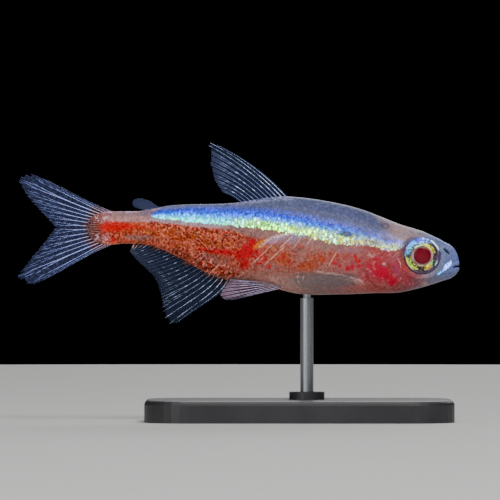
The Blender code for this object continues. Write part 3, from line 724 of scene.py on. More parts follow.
def band_light(p, x, level, strokes, dull):
    """Colours of the iridescent band, from its foot at level 0 to its top at 1, with flecks over them."""
    glow = p.ramp(level, BAND_REAR, bright)
    for stops, low, high in ((BAND_MIDDLE, -3.5, 1.5), (BAND_FRONT, 3.0, 7.5), (BAND_HEAD, 10.2, 13.0)):
        glow = p.mix(glow, p.ramp(level, stops, bright), p.step(low, high, x))
    hue, tint, other = p.split(p.cells(FACET_SCALE, "Color", FACET_STRETCH))
    seams = p.step(0.42, 0.62, p.cells(FACET_SCALE, stretch=FACET_STRETCH))
    drift = p.noise(1100, 2.0, stretch=FLAT)
    foot = p.step(0.7, 0.3, level)
    over = 1.0 - foot
    yellow = p.step(-2.0, 3.0, x)
    front, head = p.step(3.0, 8.0, x), p.step(8.0, 11.0, x)
    dark = p.mix((56, 92, 172), (96, 136, 116), yellow * foot, bright)
    dark = p.mix(dark, (150, 130, 142), p.step(6.0, 11.0, x), bright)
    white = p.mix((176, 246, 252), (248, 254, 236), yellow, bright)
    white = p.mix(white, (240, 242, 234), head, bright)
    return p.layers(glow, [
        ((236, 238, 96), p.step(0.6, 0.75, hue) * foot * yellow * 0.8),
        ((196, 180, 228), p.step(0.34, 0.2, hue) * foot * front * 0.75),
        ((140, 225, 240), p.step(0.6, 0.75, tint) * foot * (0.6 - yellow * 0.25)),
        ((112, 96, 200), p.step(0.5, 0.75, tint) * p.step(0.55, 0.85, level) * 0.56),
        ((130, 226, 240), p.step(0.52, 0.62, drift) * foot * 0.45),
        ((230, 232, 120), p.step(0.46, 0.36, drift) * foot * yellow * 0.5),
        ((176, 156, 190), p.step(0.5, 0.7, other) * foot * head * 0.5),
        ((140, 124, 160), p.step(0.3, 0.8, dull) * 0.7),
        (dark, p.step(0.74, 0.84, other) * 0.5),
        (dark, p.step(0.45, 0.37, strokes) * 0.6),
        (white, p.step(0.54, 0.64, strokes) * foot * 0.65),
        (white, p.step(0.82, 0.88, tint) * foot * 0.45),
        (dark, seams * (0.55 - front * 0.15)),
        ((140, 170, 246), p.step(0.5, 0.62, strokes) * over * 0.7),
        ((66, 78, 176), p.step(0.42, 0.25, hue) * over * 0.55),
        ((110, 206, 246), p.step(0.62, 0.76, hue) * p.step(0.78, 0.5, level) * over * 0.6)], bright)


def skin_finish():
    """Wet, scaled skin: back, band, flank and belly with their pigments."""
    p = Paint("tetra_skin", IOR=1.36, Subsurface_Weight=0.06, Subsurface_Scale=0.0004, Coat_Roughness=0.15,
              Specular_IOR_Level=0.16, Emission_Strength=GLOW * 0.5)
    p.shader.inputs["Subsurface Radius"].default_value = (1.0, 0.45, 0.35)
    x, z = p.side_on()
    turn, band, place, scaled, inside = map(p.read, ("turn", "band", "scale", "scaled", "inside"))
    under, dots, over_belly, dull, scarlet = map(p.read, ("under", "dots", "over_belly", "dull", "scarlet"))
    coarse = p.noise(900, 3.0)
    middle = p.noise(2400, 2.0, stretch=FLAT)
    fine = p.noise(5200, 2.0)
    first, _, third = p.split(p.cells(4400, "Color", FLAT))
    chance, other_chance, last_chance = p.split(p.cells(5200, "Color", FLAT))
    front = p.step(1.5, 4.5, x)
    loose = coarse - 0.5

    # Back, flank and belly
    along_x = (x - TONES_START) / (SNOUT - TONES_START)
    upper = p.ramp(along_x + loose * 0.05 + (turn - 0.6) * 0.05, along_fish(UPPER))
    lower, belly = [p.ramp(along_x, along_fish(stops)) for stops in (LOWER, BELLY_TONE)]
    above = p.step(0.35, 0.75, band).most(p.step(-0.05, -0.35, under + loose * 0.3))
    flank = p.mix(lower, belly, p.step(-0.35, -0.8, turn + loose * 0.3))
    # The lighter line along the top edge of the back is painted rim light
    ridge = p.mix((170, 168, 186), (200, 168, 172), p.step(-7.0, -9.0, x))
    fringe = p.step(0.7, 0.8, turn) * p.step(-0.8, 0.2, x) * p.step(5.4, 4.4, x)
    glint = p.step(0.66, 0.78, turn) * p.step(-6.5, -8.5, x) * p.step(0.5, 0.7, chance)
    hem = p.step(-0.7, -0.82, turn) * p.step(-3.0, -7.0, x)
    wide = p.step(-1.5, 2.5, x) * 0.45
    gap = p.step(0.6, 0.3, under - wide) * p.step(-0.4, 0.0, under) * (1.0 - above)
    strip = p.mix((190, 180, 186), (166, 134, 130), p.step(-3.0, 0.0, x))
    grains = p.mix(p.ramp(first, REAR_GRAINS), p.ramp(first, FRONT_GRAINS), front)
    cool = above.most(p.step(16.6, 17.8, x))
    light_grain = p.mix((206, 150, 142), (150, 158, 194), cool)
    dark_grain = p.mix((90, 34, 32), (62, 66, 96), cool)
    colour = p.layers(p.mix(flank, upper, above), [
        ((176, 170, 196), p.step(0.55, 0.75, middle) * above * 0.175),
        # painted rim light along the back's top edge
        (ridge, p.step(0.86, 0.985, turn) * 0.6),
        ((186, 186, 210), fringe * p.step(0.42, 0.6, fine) * 0.8),
        (p.ramp(chance, BACK_GRAINS), above * p.step(-6.8, -8.4, x) * p.step(0.98, 0.9, turn) * 0.7),
        ((214, 196, 204), glint * 0.8),
        ((214, 150, 124), hem * p.step(0.25, 0.5, chance) * 0.75),
        ((196, 158, 158), p.step(-0.86, -0.95, turn) * p.step(-1.0, 1.0, x) * 0.5),
        (strip, gap * (0.55 + middle * 0.7) * p.step(12.5, 8.0, x)),
        (grains, dots * (0.85 - front * 0.4)),
        (light_grain, p.step(0.6, 0.8, chance) * (0.3 - above * 0.1)),
        (dark_grain, p.step(0.65, 0.85, other_chance) * (0.32 - above.most(front) * 0.12))])

    # Pigments, with the pale spots' painted glints
    scattered = chance * 0.6 + middle * 0.5 + coarse * 0.5 - 0.8
    for name, tone, scatter, soft, strength in PIGMENTS:
        laid = p.read(name)
        held = p.step(-soft, soft, laid - (0.5 + scattered * scatter))
        colour = p.mix(colour, tone, held * p.step(0.02, 0.14, laid) * strength)
        if name == "orange":
            colour = p.mix(colour, (206, 138, 108), p.step(0.72, 0.8, other_chance) * dots * 0.5)

    # Lines, dots, the fin's base and the tail's end
    ribs = 0.0
    for start, end in RIB_LINES:
        ribs = hair_line(p, x, z, start, end).most(ribs)
    spots = p.cells(3400, stretch=FLAT, randomness=0.95)
    speck = p.step(0.44, 0.34, spots + (fine - 0.5) * 0.3) * dots * p.step(0.28, 0.42, middle)
    speck_tone = p.mix((106, 12, 8), (166, 10, 14), p.step(0.4, 0.6, third))
    small = p.step(0.32, 0.2, p.cells(6200, stretch=FLAT)) * dots * p.step(0.36, 0.5, coarse)
    few = 0.5 + p.step(-9.5, -7.0, x) * 0.42
    net = p.step(0.54, 0.68, p.cells(4300, stretch=FLAT)) * dots * (1.0 - p.read("red").most(scarlet))
    net = net * (0.45 + p.step(1.3, 0.4, under) * 0.3 - front * 0.15)
    anal_base = p.step(1.2, 0.7, over_belly) * p.step(-8.0, -4.5, x) * p.step(-0.2, -0.8, x)
    comb = ((x - over_belly * 0.8) / 0.32).fraction() - 0.5
    seams = p.step(0.26, 0.1, comb.absolute()) * p.step(0.5, 0.36, middle)
    # Painted glints: pinkish-white specks over the gill cover
    gill_glints = p.step(0.92, 0.98, other_chance) * p.step(0.2, 0.5, p.read("rose"))
    tail_end = p.step(-11.8, -12.8, x + (middle - 0.5) * 1.2) * (1.0 - scarlet)
    gaps = p.mix((92, 34, 28), (44, 26, 40), p.step(-12.9, -13.6, x))
    streaks = p.mix(gaps, (214, 186, 178), p.step(0.8, 1.0, p.read("fan")) * p.step(0.36, 0.5, fine))
    # Painted glints, mauve to cream, on the upper and lower corners of the tail's end
    corner = p.step(0.12, 0.4, turn.absolute()) * p.step(-11.3, -12.0, x) * p.step(-13.3, -12.8, x)
    corner_glints = p.mix((172, 112, 118), (214, 196, 198), p.step(0.6, 0.8, last_chance))
    colour = p.layers(colour, [
        ((220, 204, 202), p.read("lines") * p.step(0.32, 0.52, fine) * 0.9),
        ((226, 206, 196), ribs * p.step(0.25, 0.5, middle) * 0.7),
        ((220, 168, 148), net * p.step(0.42, 0.56, fine)),
        (speck_tone, speck * few),
        ((124, 30, 10), small * few * 0.7),
        ((104, 18, 8), anal_base * p.step(0.1, 0.35, over_belly) * p.step(0.42, 0.54, middle) * 0.55),
        ((228, 182, 162), anal_base * seams * 0.85),
        ((208, 160, 172), gill_glints * 0.4),
        (p.ramp(chance, TAIL_GRAINS), tail_end * 0.9),
        (streaks, p.step(-12.3, -12.9, x + loose * 1.4) * 0.9),
        (corner_glints, corner * p.step(0.45, 0.6, other_chance) * 0.7)])

    # Band
    strokes = p.noise(5000, 2.0, 0.7, (1.15, 0.0, 0.9))
    teeth = (place - 0.5) * 0.06 * scaled + (middle - 0.5) * 0.16
    level = band + (strokes - 0.5) * 0.3 + teeth + loose * 0.25 * p.step(12.4, 13.4, x)
    glow = band_light(p, x, level, strokes, dull)
    calm = p.step(8.0, 11.5, x) * p.step(0.3, 0.7, level)
    shine = p.step(-0.02, 0.05, level) * p.step(1.16, 0.74, level + loose * 0.25) * inside
    shine = shine * (1.0 - p.step(0.2, 0.7, dull * (0.4 + fine * 1.2)) * 0.8)
    shine = shine * (1.0 - calm * (0.35 + p.step(0.45, 0.6, middle) * 0.4))

    # Scale edges, seams, painted shade in the mouth's slit and the nostril, and the upper jaw's painted sheen
    sheen = p.read("maxilla") * p.step(0.34, 0.5, fine)
    silver_sheen = p.mix((176, 240, 250), (228, 238, 250), p.step(18.3, 18.7, x), bright)
    colour = p.layers(colour, [
        (glow, shine),
        ((210, 205, 225), p.step(0.82, 0.93, place) * scaled * p.step(-0.2, 0.3, turn) * 0.06),
        ((96, 44, 48), p.read("seam") * 0.25),
        ((84, 76, 98), p.read("ring") * 0.8),
        # Painted shade: the mouth's slit and the nostril's pit are darkened almost to black
        ((20, 12, 22), p.read("mouth") * 0.85),
        ((8, 10, 24), p.read("pits") * 0.92),
        ((10, 6, 10), p.step(0.45, 0.7, p.cells(7000)) * 0.25),
        (silver_sheen, sheen)])
    rough = 0.4 - shine * 0.1 + (fine - 0.5) * 0.12
    height = fine * 0.5 + strokes * shine * 0.9 + p.step(0.8, 1.0, place) * scaled * 0.5 + first * dots * 0.25
    # The band's colours and the upper jaw's silver sheen also glow: painted light
    emitted = p.layers(p.mix(BLACK, glow, shine), [(silver_sheen, sheen * (0.4 + middle * 0.8).clamp())])
    return p.out(Base_Color=colour, Roughness=rough, Metallic=shine * 0.5, Emission_Color=emitted,
                 Coat_Weight=0.03 + coarse * 0.06, Normal=p.bump(height, 0.45, 0.00004))


# Eyes
PUPIL = 0.76
EYE_SEGMENTS = 96
EYE_RINGS = 48
EYE_BULGE = 0.66
EYE_BACK = 0.6
LENS_FOOT = 0.86


def eye_profile(r):
    """How far the eyeball stands out at distance r from its axis, in shares of its bulge."""
    lens = LENS_FOOT + (1 - LENS_FOOT) * np.sqrt(np.clip(1 - (r / PUPIL) ** 2, 0, 1))
    iris = LENS_FOOT - LENS_FOOT * ease(PUPIL, EYE_RADIUS * 1.02, r) ** 1.25
    groove = 0.02 * hump(r - PUPIL - 0.05, 0.06)
    return np.where(r < PUPIL, lens, iris) - groove


def eye(name, node, side):
    """Eyeball with its lens, iris and a rounded back inside the head."""
    deselect()
    bpy.ops.mesh.primitive_uv_sphere_add(segments=EYE_SEGMENTS, ring_count=EYE_RINGS, radius=1.0)
    obj = new_piece(name)
    co = positions(obj)
    polar = np.arccos(np.clip(co[:, 2], -1, 1))
    angle = np.arctan2(co[:, 1], co[:, 0])
    outer = polar <= math.pi / 2
    r = np.where(outer, EYE_RADIUS * polar / (math.pi / 2), EYE_RADIUS * np.sin(polar))
    stands_out = np.where(outer, EYE_BULGE * eye_profile(r), EYE_BACK * np.cos(polar))
    out = EYE_FRONT - EYE_BULGE + stands_out
    at = np.stack([EYE_X + r * np.cos(angle), side * out, EYE_HEIGHT + r * np.sin(angle)], axis=-1)
    move_points(obj, world(at))
    face_outwards(obj)
    settle(obj, bpy.data.materials["tetra_eye"], "eye", node)


# Iris patches, laid on in this order: (degrees, half spread, radius, half width, colour, strength)
IRIS = [
    (92, 42, 1.5, 0.14, (84, 100, 206), 0.95), (100, 34, 1.24, 0.13, (126, 160, 228), 0.9),
    (138, 22, 1.42, 0.2, (140, 200, 232), 0.85), (156, 18, 1.26, 0.18, (74, 190, 220), 0.9),
    (170, 10, 1.5, 0.12, (110, 170, 200), 0.7), (116, 22, 0.98, 0.08, (196, 210, 184), 0.85),
    (52, 32, 1.02, 0.13, (208, 206, 0), 1.0), (84, 18, 1.0, 0.08, (170, 190, 40), 0.9),
    (28, 14, 1.14, 0.09, (190, 180, 20), 0.8), (212, 26, 1.38, 0.14, (208, 220, 96), 0.95),
    (216, 26, 1.12, 0.13, (170, 184, 20), 0.95), (236, 14, 1.3, 0.1, (204, 212, 120), 0.85),
    (256, 20, 0.92, 0.06, (196, 176, 120), 0.7), (304, 22, 1.04, 0.13, (206, 202, 6), 0.95),
    (296, 18, 1.27, 0.07, (212, 176, 60), 0.85), (327, 10, 1.06, 0.08, (120, 204, 170), 0.85),
    (334, 9, 1.42, 0.07, (160, 200, 206), 0.8), (38, 20, 1.56, 0.07, (206, 222, 228), 1.0),
    (354, 18, 1.38, 0.14, (96, 66, 120), 0.8), (184, 9, 1.26, 0.16, (52, 36, 54), 0.8)]
DARK_TONE = 300


def eye_finish():
    """Deep red pupil in a pale ring, and an iris of coloured metal-like patches."""
    p = Paint("tetra_eye", IOR=1.36, Coat_Roughness=0.08, Emission_Strength=0.5, Coat_Weight=0.05,
              Specular_IOR_Level=0.22)
    x, z = p.side_on()
    dx, dz = x - EYE_X, z - EYE_HEIGHT
    r = (dx * dx + dz * dz) ** 0.5
    angle = p.add("ShaderNodeMath", {"operation": "ARCTAN2"}, {0: dz, 1: dx}) * (180 / math.pi)
    wound = p.add("ShaderNodeCombineXYZ", {}, {0: angle * 0.03, 1: r * 5.0, 2: 0.0})
    streaks = p.noise(1.9, vector=wound)
    veins = p.noise(2600, 3.0, 0.6)
    r_rough = r + (veins - 0.5) * 0.16
    # The base darkens to a dark line at the rim: painted shade where the eye meets the skin
    colour = p.ramp(r / EYE_RADIUS, [(0.0, (92, 60, 70)), (0.6, (96, 62, 70)), (0.78, (66, 44, 54)),
                                     (0.95, (76, 60, 96)), (1.0, (34, 26, 44))])
    coated = 0.0
    for at, spread, radius, width, tone, strength in IRIS:
        turned = ((angle - at + 540.0) / 360.0).fraction() * 360.0 - 180.0
        reach = p.step(spread * 1.3, spread * 0.6, turned.absolute() + (veins - 0.5) * 30)
        ring = p.step(width * 1.35, width * 0.55, (r_rough - radius).absolute())
        colour = p.mix(colour, tone, reach * ring * strength)
        if sum(tone) > DARK_TONE:
            coated = (reach * ring * strength).most(coated)
    facet, other_facet, _ = p.split(p.cells(6800, "Color"))
    dark = p.step(0.5, 0.42, streaks) * p.step(0.9, 1.02, r) * p.step(1.62, 1.52, r)
    iris = p.step(0.92, 1.0, r) * p.step(1.62, 1.54, r) * p.step(1.45, 1.3, r)
    light = p.step(0.56, 0.64, streaks) * p.step(0.95, 1.05, r) * p.step(1.6, 1.5, r)
    ring = ((dx / 0.97) ** 2.0 + (dz / 0.82) ** 2.0) ** 0.5
    pale_ring = p.mix((138, 102, 104), (178, 148, 150), p.step(0.7, 0.9, dx.absolute()))
    red = p.ramp(r / PUPIL, [(0.0, (104, 19, 26)), (0.7, (98, 13, 22)), (1.0, (72, 6, 14))])
    colour = p.layers(colour, [
        ((40, 34, 14), dark * 0.45),
        ((20, 24, 14), p.step(0.6, 0.7, facet) * iris * 0.782),
        ((208, 226, 210), p.step(0.66, 0.82, other_facet) * coated * 0.385),
        ((204, 208, 200), light * 0.125),
        (pale_ring, p.step(1.05, 0.97, ring + (veins - 0.5) * 0.1) * 0.8),
        (red, p.step(PUPIL + 0.05, PUPIL - 0.01, (dx * dx + dz * dz * 1.08) ** 0.5))])
    # The eye's own colours glow faintly as painted light; the dark rim does not glow
    emitted = p.mix(colour, BLACK, p.step(1.6, 1.68, r))
    rough = 0.34 - p.step(PUPIL, PUPIL - 0.05, r) * 0.12
    return p.out(Base_Color=colour, Roughness=rough, Metallic=p.step(0.95, 1.05, r) * 0.3,
                 Emission_Color=emitted, Normal=p.bump(streaks, 0.3, 0.00006))


# Fins
DORSAL_ROOT = (4.35, -0.1)
DORSAL_EDGE = [(-1.7, 9.0), (-2.7, 9.25), (-2.6, 8.6), (-2.5, 7.2), (-2.2, 6.0), (-1.4, 4.75)]
ANAL_ROOT = (-1.05, -9.7)
ANAL_EDGE = [
    (-5.3, -6.9), (-6.1, -7.17), (-6.8, -6.4), (-6.95, -5.0), (-7.5, -3.2), (-8.2, -2.36), (-9.1, -1.5),
    (-9.85, -0.6)]
UPPER_LOBE_EDGE = [(-15.8, 5.15), (-19.0, 6.5), (-20.0, 6.0), (-19.5, 4.8), (-18.4, 3.5), (-16.6, 1.65)]
LOWER_LOBE_EDGE = [
    (-15.6, -2.1), (-18.9, -3.65), (-20.0, -2.9), (-19.2, -1.65), (-18.0, -0.1), (-16.6, 1.56)]
CAUDAL_MIDDLE = 1.57
ADIPOSE_ROOT = (-7.2, -8.5)
ADIPOSE_EDGE = [(-8.0, 3.98), (-8.85, 4.22), (-9.5, 4.1), (-9.62, 3.75), (-9.4, 3.4)]
PELVIC_ROOT = [(3.5, -4.05), (1.9, -3.3)]
PELVIC_EDGE = [(-0.5, -4.98), (-1.3, -4.92), (-1.62, -4.6), (-1.5, -4.05), (-1.1, -3.5), (-0.7, -3.05)]
PELVIC_ROOT_Y = 1.15
PELVIC_SPREAD = 0.14
PECTORAL_ROOT = [(11.2, -2.75), (10.9, -3.6)]
PECTORAL_EDGE = [(6.6, -2.45), (5.2, -2.6), (4.95, -3.05), (5.4, -3.65), (6.8, -4.0), (8.3, -4.05)]
PECTORAL_SPREAD = 0.13
RAY_THICK = 0.17
THICK_ROOM = 1.15
THICK_LEVELS = 32
MEMBRANE_THICK = 0.06
JOINT_PITCH = 0.34
ROOT_SUNK = 0.55
PER_RAY = 16
# These bring w (1 - w) and w (1 - w)^3 to about 1 at their highest
BOW_GAIN = 4.0
BULGE_GAIN = 9.5
# Soft rays split twice: where each split begins and ends along the ray, and how far it spreads
FIRST_SPLIT = (0.38, 0.85, 0.2)
SECOND_SPLIT = (0.68, 1.0, 0.1)


def ray_profile(u, v, rays, spacing, width, stiff):
    """Height of the fin rays at u across and v outwards; soft rays split in two, then in four."""
    cell = u * rays
    number = np.clip(np.floor(cell), 0, rays - 1)
    across = cell - number - 0.5
    splits = np.where(number < stiff, 0.0, 1.0)
    both = (FIRST_SPLIT, SECOND_SPLIT)
    first, second = [spread * ease(low, high, v) * splits for low, high, spread in both]
    best = np.zeros_like(u)
    for a in (-1, 1):
        for b in (-1, 1):
            reach = np.abs(across - a * first - b * second) * spacing
            slim = width * (1.0 - 0.5 * v)
            best = np.maximum(best, np.exp(-(reach / slim) ** 2))
    return best, number


def fin(name, root, edge, rays, finish, slot, node, bow=0.0, normal=(0, 1, 0), rows=64, per_ray=PER_RAY,
        stiff=2, notch=0.03, fray=0.012, tears=(), width=0.05, thick=RAY_THICK, bulge=0.0, sweep=1.0):
    """Thin membrane with raised, branching, jointed rays between a sunk root and a free edge."""
    columns = rays * per_ray
    deselect()
    bpy.ops.mesh.primitive_grid_add(x_subdivisions=columns, y_subdivisions=rows, size=1.0)
    obj = new_piece(name)
    co = positions(obj)
    u, v = co[:, 0] + 0.5, co[:, 1] + 0.5
    normal = np.array(normal, float) / np.linalg.norm(normal)
    base, end = along(root, u), along(edge, 1 - (1 - u) ** sweep)
    reach = np.linalg.norm(end - base, axis=1)
    base = base - (end - base) / reach[:, None] * ROOT_SUNK
    ahead, behind = np.minimum(u + 0.01, 1), np.maximum(u - 0.01, 0)
    spacing = np.linalg.norm(along(edge, ahead) - along(edge, behind), axis=1) / (ahead - behind) / rays
    spacing = spacing * sweep * np.maximum(1 - u, 0.05) ** (sweep - 1)
    near = np.linalg.norm(along(root, 1.0) - along(root, 0.0)) / rays
    spacing = near + (spacing - near) * v
    ridge, number = ray_profile(u, v, rays, spacing, width, stiff)
    ends = RNG.uniform(-fray, fray, rays)[number.astype(int)]
    tip_ridge, _ = ray_profile(u, np.ones_like(u), rays, spacing, width * 1.6, stiff)
    length = 1.0 + ends - notch * (1.0 - tip_ridge) * ease(0.04, 0.2, np.minimum(u, 1 - u) + 0.1)
    for place, depth, breadth in tears:
        length = length - depth * hump(u - place, breadth)
    length = np.minimum(length, 1.0)
    lean = np.cross(end - base, normal)
    lean = lean / np.linalg.norm(lean, axis=1)[:, None]
    w = (v * length)[:, None]
    bowed = bow * (1.0 - 0.6 * u[:, None]) * BOW_GAIN * w * (1.0 - w)
    bulged = bulge * (1 - u[:, None]) ** 6 * BULGE_GAIN * w * (1 - w) ** 3
    at = base + (end - base) * w + lean * (bowed + bulged)
    wave = 0.05 * np.sin(v * 5.0 + u * 9.0) * v
    at = at + normal * wave[:, None]
    move_points(obj, world(at))
    marks = {"ray": ridge, "out": v * length, "across": u, "reach": v * length * (reach + ROOT_SUNK),
             "number": number + 0.5}
    for mark, values in marks.items():
        keep(obj, mark, values)

    group = obj.vertex_groups.new(name="thick")
    taper = 1.0 - 0.75 * v ** 2
    jointed = 1.0 + 0.12 * np.sin(v * reach / JOINT_PITCH * 2 * math.pi) * ease(0.2, 0.4, v)
    depth = MEMBRANE_THICK + (thick - MEMBRANE_THICK) * ridge * taper * jointed
    share = np.clip(depth / thick / THICK_ROOM, 0.02, 1.0)
    for level in range(1, THICK_LEVELS + 1):
        chosen = np.nonzero(np.round(share * THICK_LEVELS) == level)[0]
        group.add([int(n) for n in chosen], level / THICK_LEVELS, "REPLACE")
    solid = obj.modifiers.new("Thickness", "SOLIDIFY")
    solid.thickness = thick * THICK_ROOM * MM
    solid.offset = 0.0
    solid.vertex_group = "thick"
    solid.use_even_offset = False
    only(obj)
    bpy.ops.object.modifier_apply(modifier=solid.name)
    face_outwards(obj)
    settle(obj, finish, slot, node)


def on_line(line, front, rear):
    """Root points that follow the back or the belly."""
    return [(x, 0.0, float(smooth(line, x))) for x in np.linspace(front, rear, 7)]


def upright(points):
    return [(x, 0.0, z) for x, z in points]


def fin_finish(name, membrane, ray, root_tone, root_reach, glint, alpha, front_glint=0.0, ray_glow=0.0):
    """Thin membrane with lighter jointed rays; the tone near the root is the flesh's."""
    p = Paint(name, IOR=1.36, Coat_Roughness=0.15, Coat_Weight=0.02, Specular_IOR_Level=0.12,
              Emission_Strength=1.0)
    ridge, out, reach, number, across = map(p.read, ("ray", "out", "reach", "number", "across"))
    fine = p.noise(3500)
    broad = p.noise(700)
    joints = (reach / 0.36 + (number * 7.31).fraction()).fraction()
    joint = p.step(0.0, 0.14, joints) * p.step(1.0, 0.86, joints)
    sparks = p.noise(1.0, vector=p.add("ShaderNodeCombineXYZ", {}, {0: reach * 1.8, 1: number * 3.7, 2: 0.0}))
    spark = p.step(0.52, 0.66, sparks) * p.step(1.0, 0.35, out) * glint
    spark = (spark + p.step(0.36, 0.05, across) * front_glint * p.step(0.3, 0.6, sparks)).clamp()
    line = p.step(0.4, 0.9, ridge)
    thin = p.step(0.6, 0.97, ridge)
    root = p.step(root_reach, root_reach * 0.6, reach + (broad - 0.5) * 1.2 + (fine - 0.5) * 0.8)
    fleshy = p.mix(root_tone, (50, 26, 32), p.step(0.36, 0.52, fine))
    colour = p.layers(p.mix(membrane, ray, p.step(0.4, 0.75, fine) * 0.06), [
        (ray, line * (0.7 + joint * 0.25) * (1.15 - out * 0.75)),
        ((204, 208, 216), thin * spark * (0.25 + joint * 0.75)),
        (p.mix(fleshy, (206, 188, 180), thin * 0.85), root * 0.9)])
    clear = alpha + (1.0 - alpha) * line.most(p.step(root_reach * 1.3, root_reach * 0.6, reach)) * 0.9
    clear = clear * (1.0 - 0.15 * p.step(0.6, 1.0, out))
    height = ridge + joint * ridge * 0.3 + fine * 0.2
    lit = (thin * spark * joint).most(thin * ray_glow * (1.0 - out) ** 2.0)
    return p.out(Base_Color=colour, Roughness=0.35 + fine * 0.15, Alpha=clear,
                 Emission_Color=p.mix(BLACK, (190, 196, 212), lit), Normal=p.bump(height, 0.4, 0.00003))


def fins():
    blue = fin_finish("tetra_fin", (22, 32, 60), (142, 148, 186), (120, 122, 156), 0.35, 1.0, 0.72, 1.5, 0.15)
    tail = fin_finish("tetra_tail_fin", (30, 35, 66), (204, 211, 232), (120, 44, 40), 2.2, 1.0, 0.75, 0.2,
                      0.95)
    under = fin_finish("tetra_anal_fin", (20, 27, 50), (98, 106, 138), (120, 70, 64), 0.9, 0.65, 0.75, 0.75)
    pale = fin_finish("tetra_pelvic_fin", (56, 44, 62), (218, 204, 216), (150, 112, 110), 1.0, 1.0, 0.8, 0.5,
                      0.4)
    clear = fin_finish("tetra_pectoral_fin", (112, 104, 106), (146, 136, 138), (150, 100, 98), 0.6, 0.15,
                       0.16)
    soft = fin_finish("tetra_adipose_fin", (40, 48, 84), (50, 58, 94), (70, 74, 108), 0.5, 0.0, 0.85)

    fin("dorsal_rays", on_line(BACK, *DORSAL_ROOT), upright(DORSAL_EDGE), 11, blue, "fin", "dorsal_fin",
        -0.42, width=0.06, stiff=3)
    fin("anal_rays", on_line(BELLY, *ANAL_ROOT), upright(ANAL_EDGE), 24, under, "fin", "anal_fin", 0.15,
        per_ray=14, width=0.042, stiff=4, bulge=0.4, sweep=1.9)
    for name, start, edge, bow, tears in (
            ("caudal_upper_rays", 90, UPPER_LOBE_EDGE, 0.12, [(0.36, 0.06, 0.02)]),
            ("caudal_lower_rays", -90, LOWER_LOBE_EDGE, -0.12, [(0.42, 0.05, 0.015), (0.5, 0.04, 0.012)])):
        root = []
        for n in range(6):
            turn = start * (1 - n / 5)
            x = float(smooth(TAIL_MARGIN, turn)) + 0.9
            height = float(flesh(np.array(x), np.array(math.radians(turn)))[1]) if n < 5 else CAUDAL_MIDDLE
            root.append((x, 0.0, height))
        node = "caudal_fin_upper" if start > 0 else "caudal_fin_lower"
        fin(name, root, upright(edge), 10, tail, "fin", node, bow, tears=tears, width=0.05, stiff=2)
    fin("adipose_lobe", on_line(BACK, *ADIPOSE_ROOT), upright(ADIPOSE_EDGE), 6, soft, "fin", "adipose_fin",
        rows=24, per_ray=6, notch=0.0, fray=0.0, thick=0.14, width=0.5)
    for side, word in ((-1, "right"), (1, "left")):
        def pelvic(x, z):
            return (x, side * (PELVIC_ROOT_Y + PELVIC_SPREAD * (PELVIC_ROOT[0][0] - x)), z)

        def pectoral(x, z):
            behind = PECTORAL_ROOT[0][0] - x
            off = -0.15 + 0.7 * float(ease(0.0, 2.0, behind)) + PECTORAL_SPREAD * behind
            return (x, side * (float(flank_y(np.array(x), np.array(z))) + off), z)

        root, edge = [pelvic(*q) for q in PELVIC_ROOT], [pelvic(*q) for q in PELVIC_EDGE]
        fin("pelvic_rays_" + word, root, edge, 8, pale, "fin", "pelvic_fin_" + word,
            normal=(PELVIC_SPREAD, side, 0.0), rows=44, width=0.045)
        root, edge = [pectoral(*q) for q in PECTORAL_ROOT], [pectoral(*q) for q in PECTORAL_EDGE]
        fin("pectoral_rays_" + word, root, edge, 10, clear, "clear_fin", "pectoral_fin_" + word,
            normal=(PECTORAL_SPREAD, side, -0.5), rows=44, per_ray=10, width=0.035, thick=0.1)


# Stand
PIN_RADIUS = 0.34 * MM
PIN_RISE = 0.75 * MM
PIN_SUNK = 0.1 * MM
PIN_EDGE = 0.05 * MM


def stand():
    """Satin black base, brushed steel rod and the pin that carries the fish."""
    p = Paint("stand_satin_black", IOR=1.5, Coat_Weight=0.25, Coat_Roughness=0.25)
    grain = p.noise(2600, 3.0)
    wear = p.noise(300, 3.0)
    tone = p.mix((30, 30, 33), (44, 44, 48), p.step(0.35, 0.75, wear))
    p.out(Base_Color=tone, Roughness=0.42 + wear * 0.16, Normal=p.bump(grain, 0.12, 0.00003))
    coat(frame["nodes"]["stand_base"], p.material)

    p = Paint("stand_brushed_steel", Metallic=1.0)
    lines = p.noise(2500, 3.0, stretch=(1.0, 1.0, 12.0))
    tone = p.mix((150, 152, 156), (186, 188, 192), lines)
    p.out(Base_Color=tone, Roughness=0.28 + lines * 0.14, Normal=p.bump(lines, 0.1, 0.00002))
    coat(frame["nodes"]["stand_rod"], p.material)

    low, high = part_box("stand_rod")
    place = ((low.x + high.x) / 2, 0.0, high.z + (PIN_RISE - PIN_SUNK) / 2)
    deselect()
    bpy.ops.mesh.primitive_cylinder_add(vertices=32, radius=PIN_RADIUS, depth=PIN_RISE + PIN_SUNK,
                                        location=place)
    pin = new_piece("stand_pin")
    bpy.ops.object.transform_apply(location=True, rotation=True, scale=True)
    bevel = pin.modifiers.new("Edge", "BEVEL")
    bevel.width = PIN_EDGE
    bevel.segments = 2
    bpy.ops.object.modifier_apply(modifier=bevel.name)
    settle(pin, p.material, "stand_rod")
    bpy.ops.object.shade_smooth_by_angle(angle=math.radians(35))


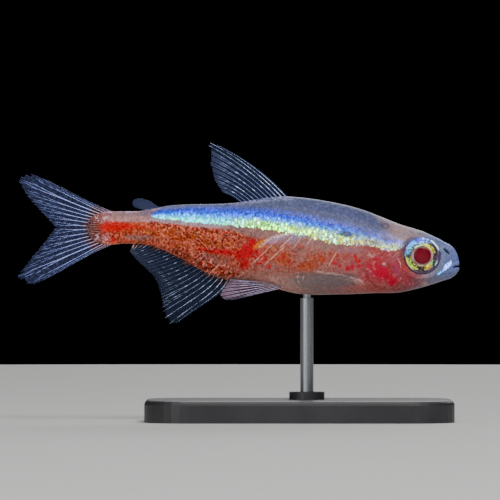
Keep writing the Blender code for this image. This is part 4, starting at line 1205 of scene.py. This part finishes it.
# Studio
PHOTO_SIDE = 500
PIXEL = 40.0 / 441 * MM
FISH_CENTRE = (238.5, 245.0)
DISTANCE = 0.6
SENSOR = 36.0
NEAREST = 0.01
FLOOR_RADIUS = 0.3
FLOOR_TONE = (0.6, 0.6, 0.59, 1.0)
ROOM_TONE = (0.0004, 0.0004, 0.0006, 1.0)
# Name, place, side in metres and power in watts
LAMPS = [
    ("key", (0.1, -0.3, 0.36), 0.22, 1.5), ("fill", (-0.25, -0.38, 0.1), 0.3, 0.6),
    ("far_side", (0.1, 0.4, 0.3), 0.3, 0.9), ("top", (-0.02, 0.02, 0.42), 0.2, 0.4)]


def studio():
    """Camera at the photo's angle, a pale floor and soft lamps."""
    deselect()
    bpy.ops.mesh.primitive_circle_add(vertices=128, radius=FLOOR_RADIUS, fill_type="NGON", location=(0, 0, 0))
    floor = new_piece("floor")
    p = Paint("pale_floor")
    p.shader.inputs["Base Color"].default_value = FLOOR_TONE
    coat(floor, p.out(Roughness=0.7 + p.noise(40, 2.0) * 0.1))

    data = bpy.data.cameras.new("camera")
    camera = bpy.data.objects.new("camera", data)
    bpy.context.collection.objects.link(camera)
    x = (PHOTO_SIDE / 2 - FISH_CENTRE[0]) * PIXEL
    z = SWIM_LINE + (FISH_CENTRE[1] - PHOTO_SIDE / 2) * PIXEL
    camera.location = (x, -DISTANCE, z)
    camera.rotation_euler = (math.pi / 2, 0.0, 0.0)
    data.sensor_width = SENSOR
    data.lens = SENSOR * DISTANCE / (PHOTO_SIDE * PIXEL)
    data.clip_start = NEAREST
    bpy.context.scene.camera = camera

    room = bpy.data.worlds.new("dark_room")
    room.use_nodes = True
    room.node_tree.nodes["Background"].inputs["Color"].default_value = ROOM_TONE
    bpy.context.scene.world = room

    target = Vector((0.0, 0.0, SWIM_LINE))
    for name, place, side, power in LAMPS:
        light = bpy.data.lights.new(name, "AREA")
        light.shape = "SQUARE"
        light.size = side
        light.energy = power
        lamp = bpy.data.objects.new(name, light)
        bpy.context.collection.objects.link(lamp)
        lamp.location = place
        lamp.rotation_euler = (target - Vector(place)).to_track_quat("-Z", "Y").to_euler()
        lamp.visible_camera = False


skin()
eye_finish()
eye("eyeball_right", "eye_right", -1)
eye("eyeball_left", "eye_left", 1)
fins()
stand()
studio()
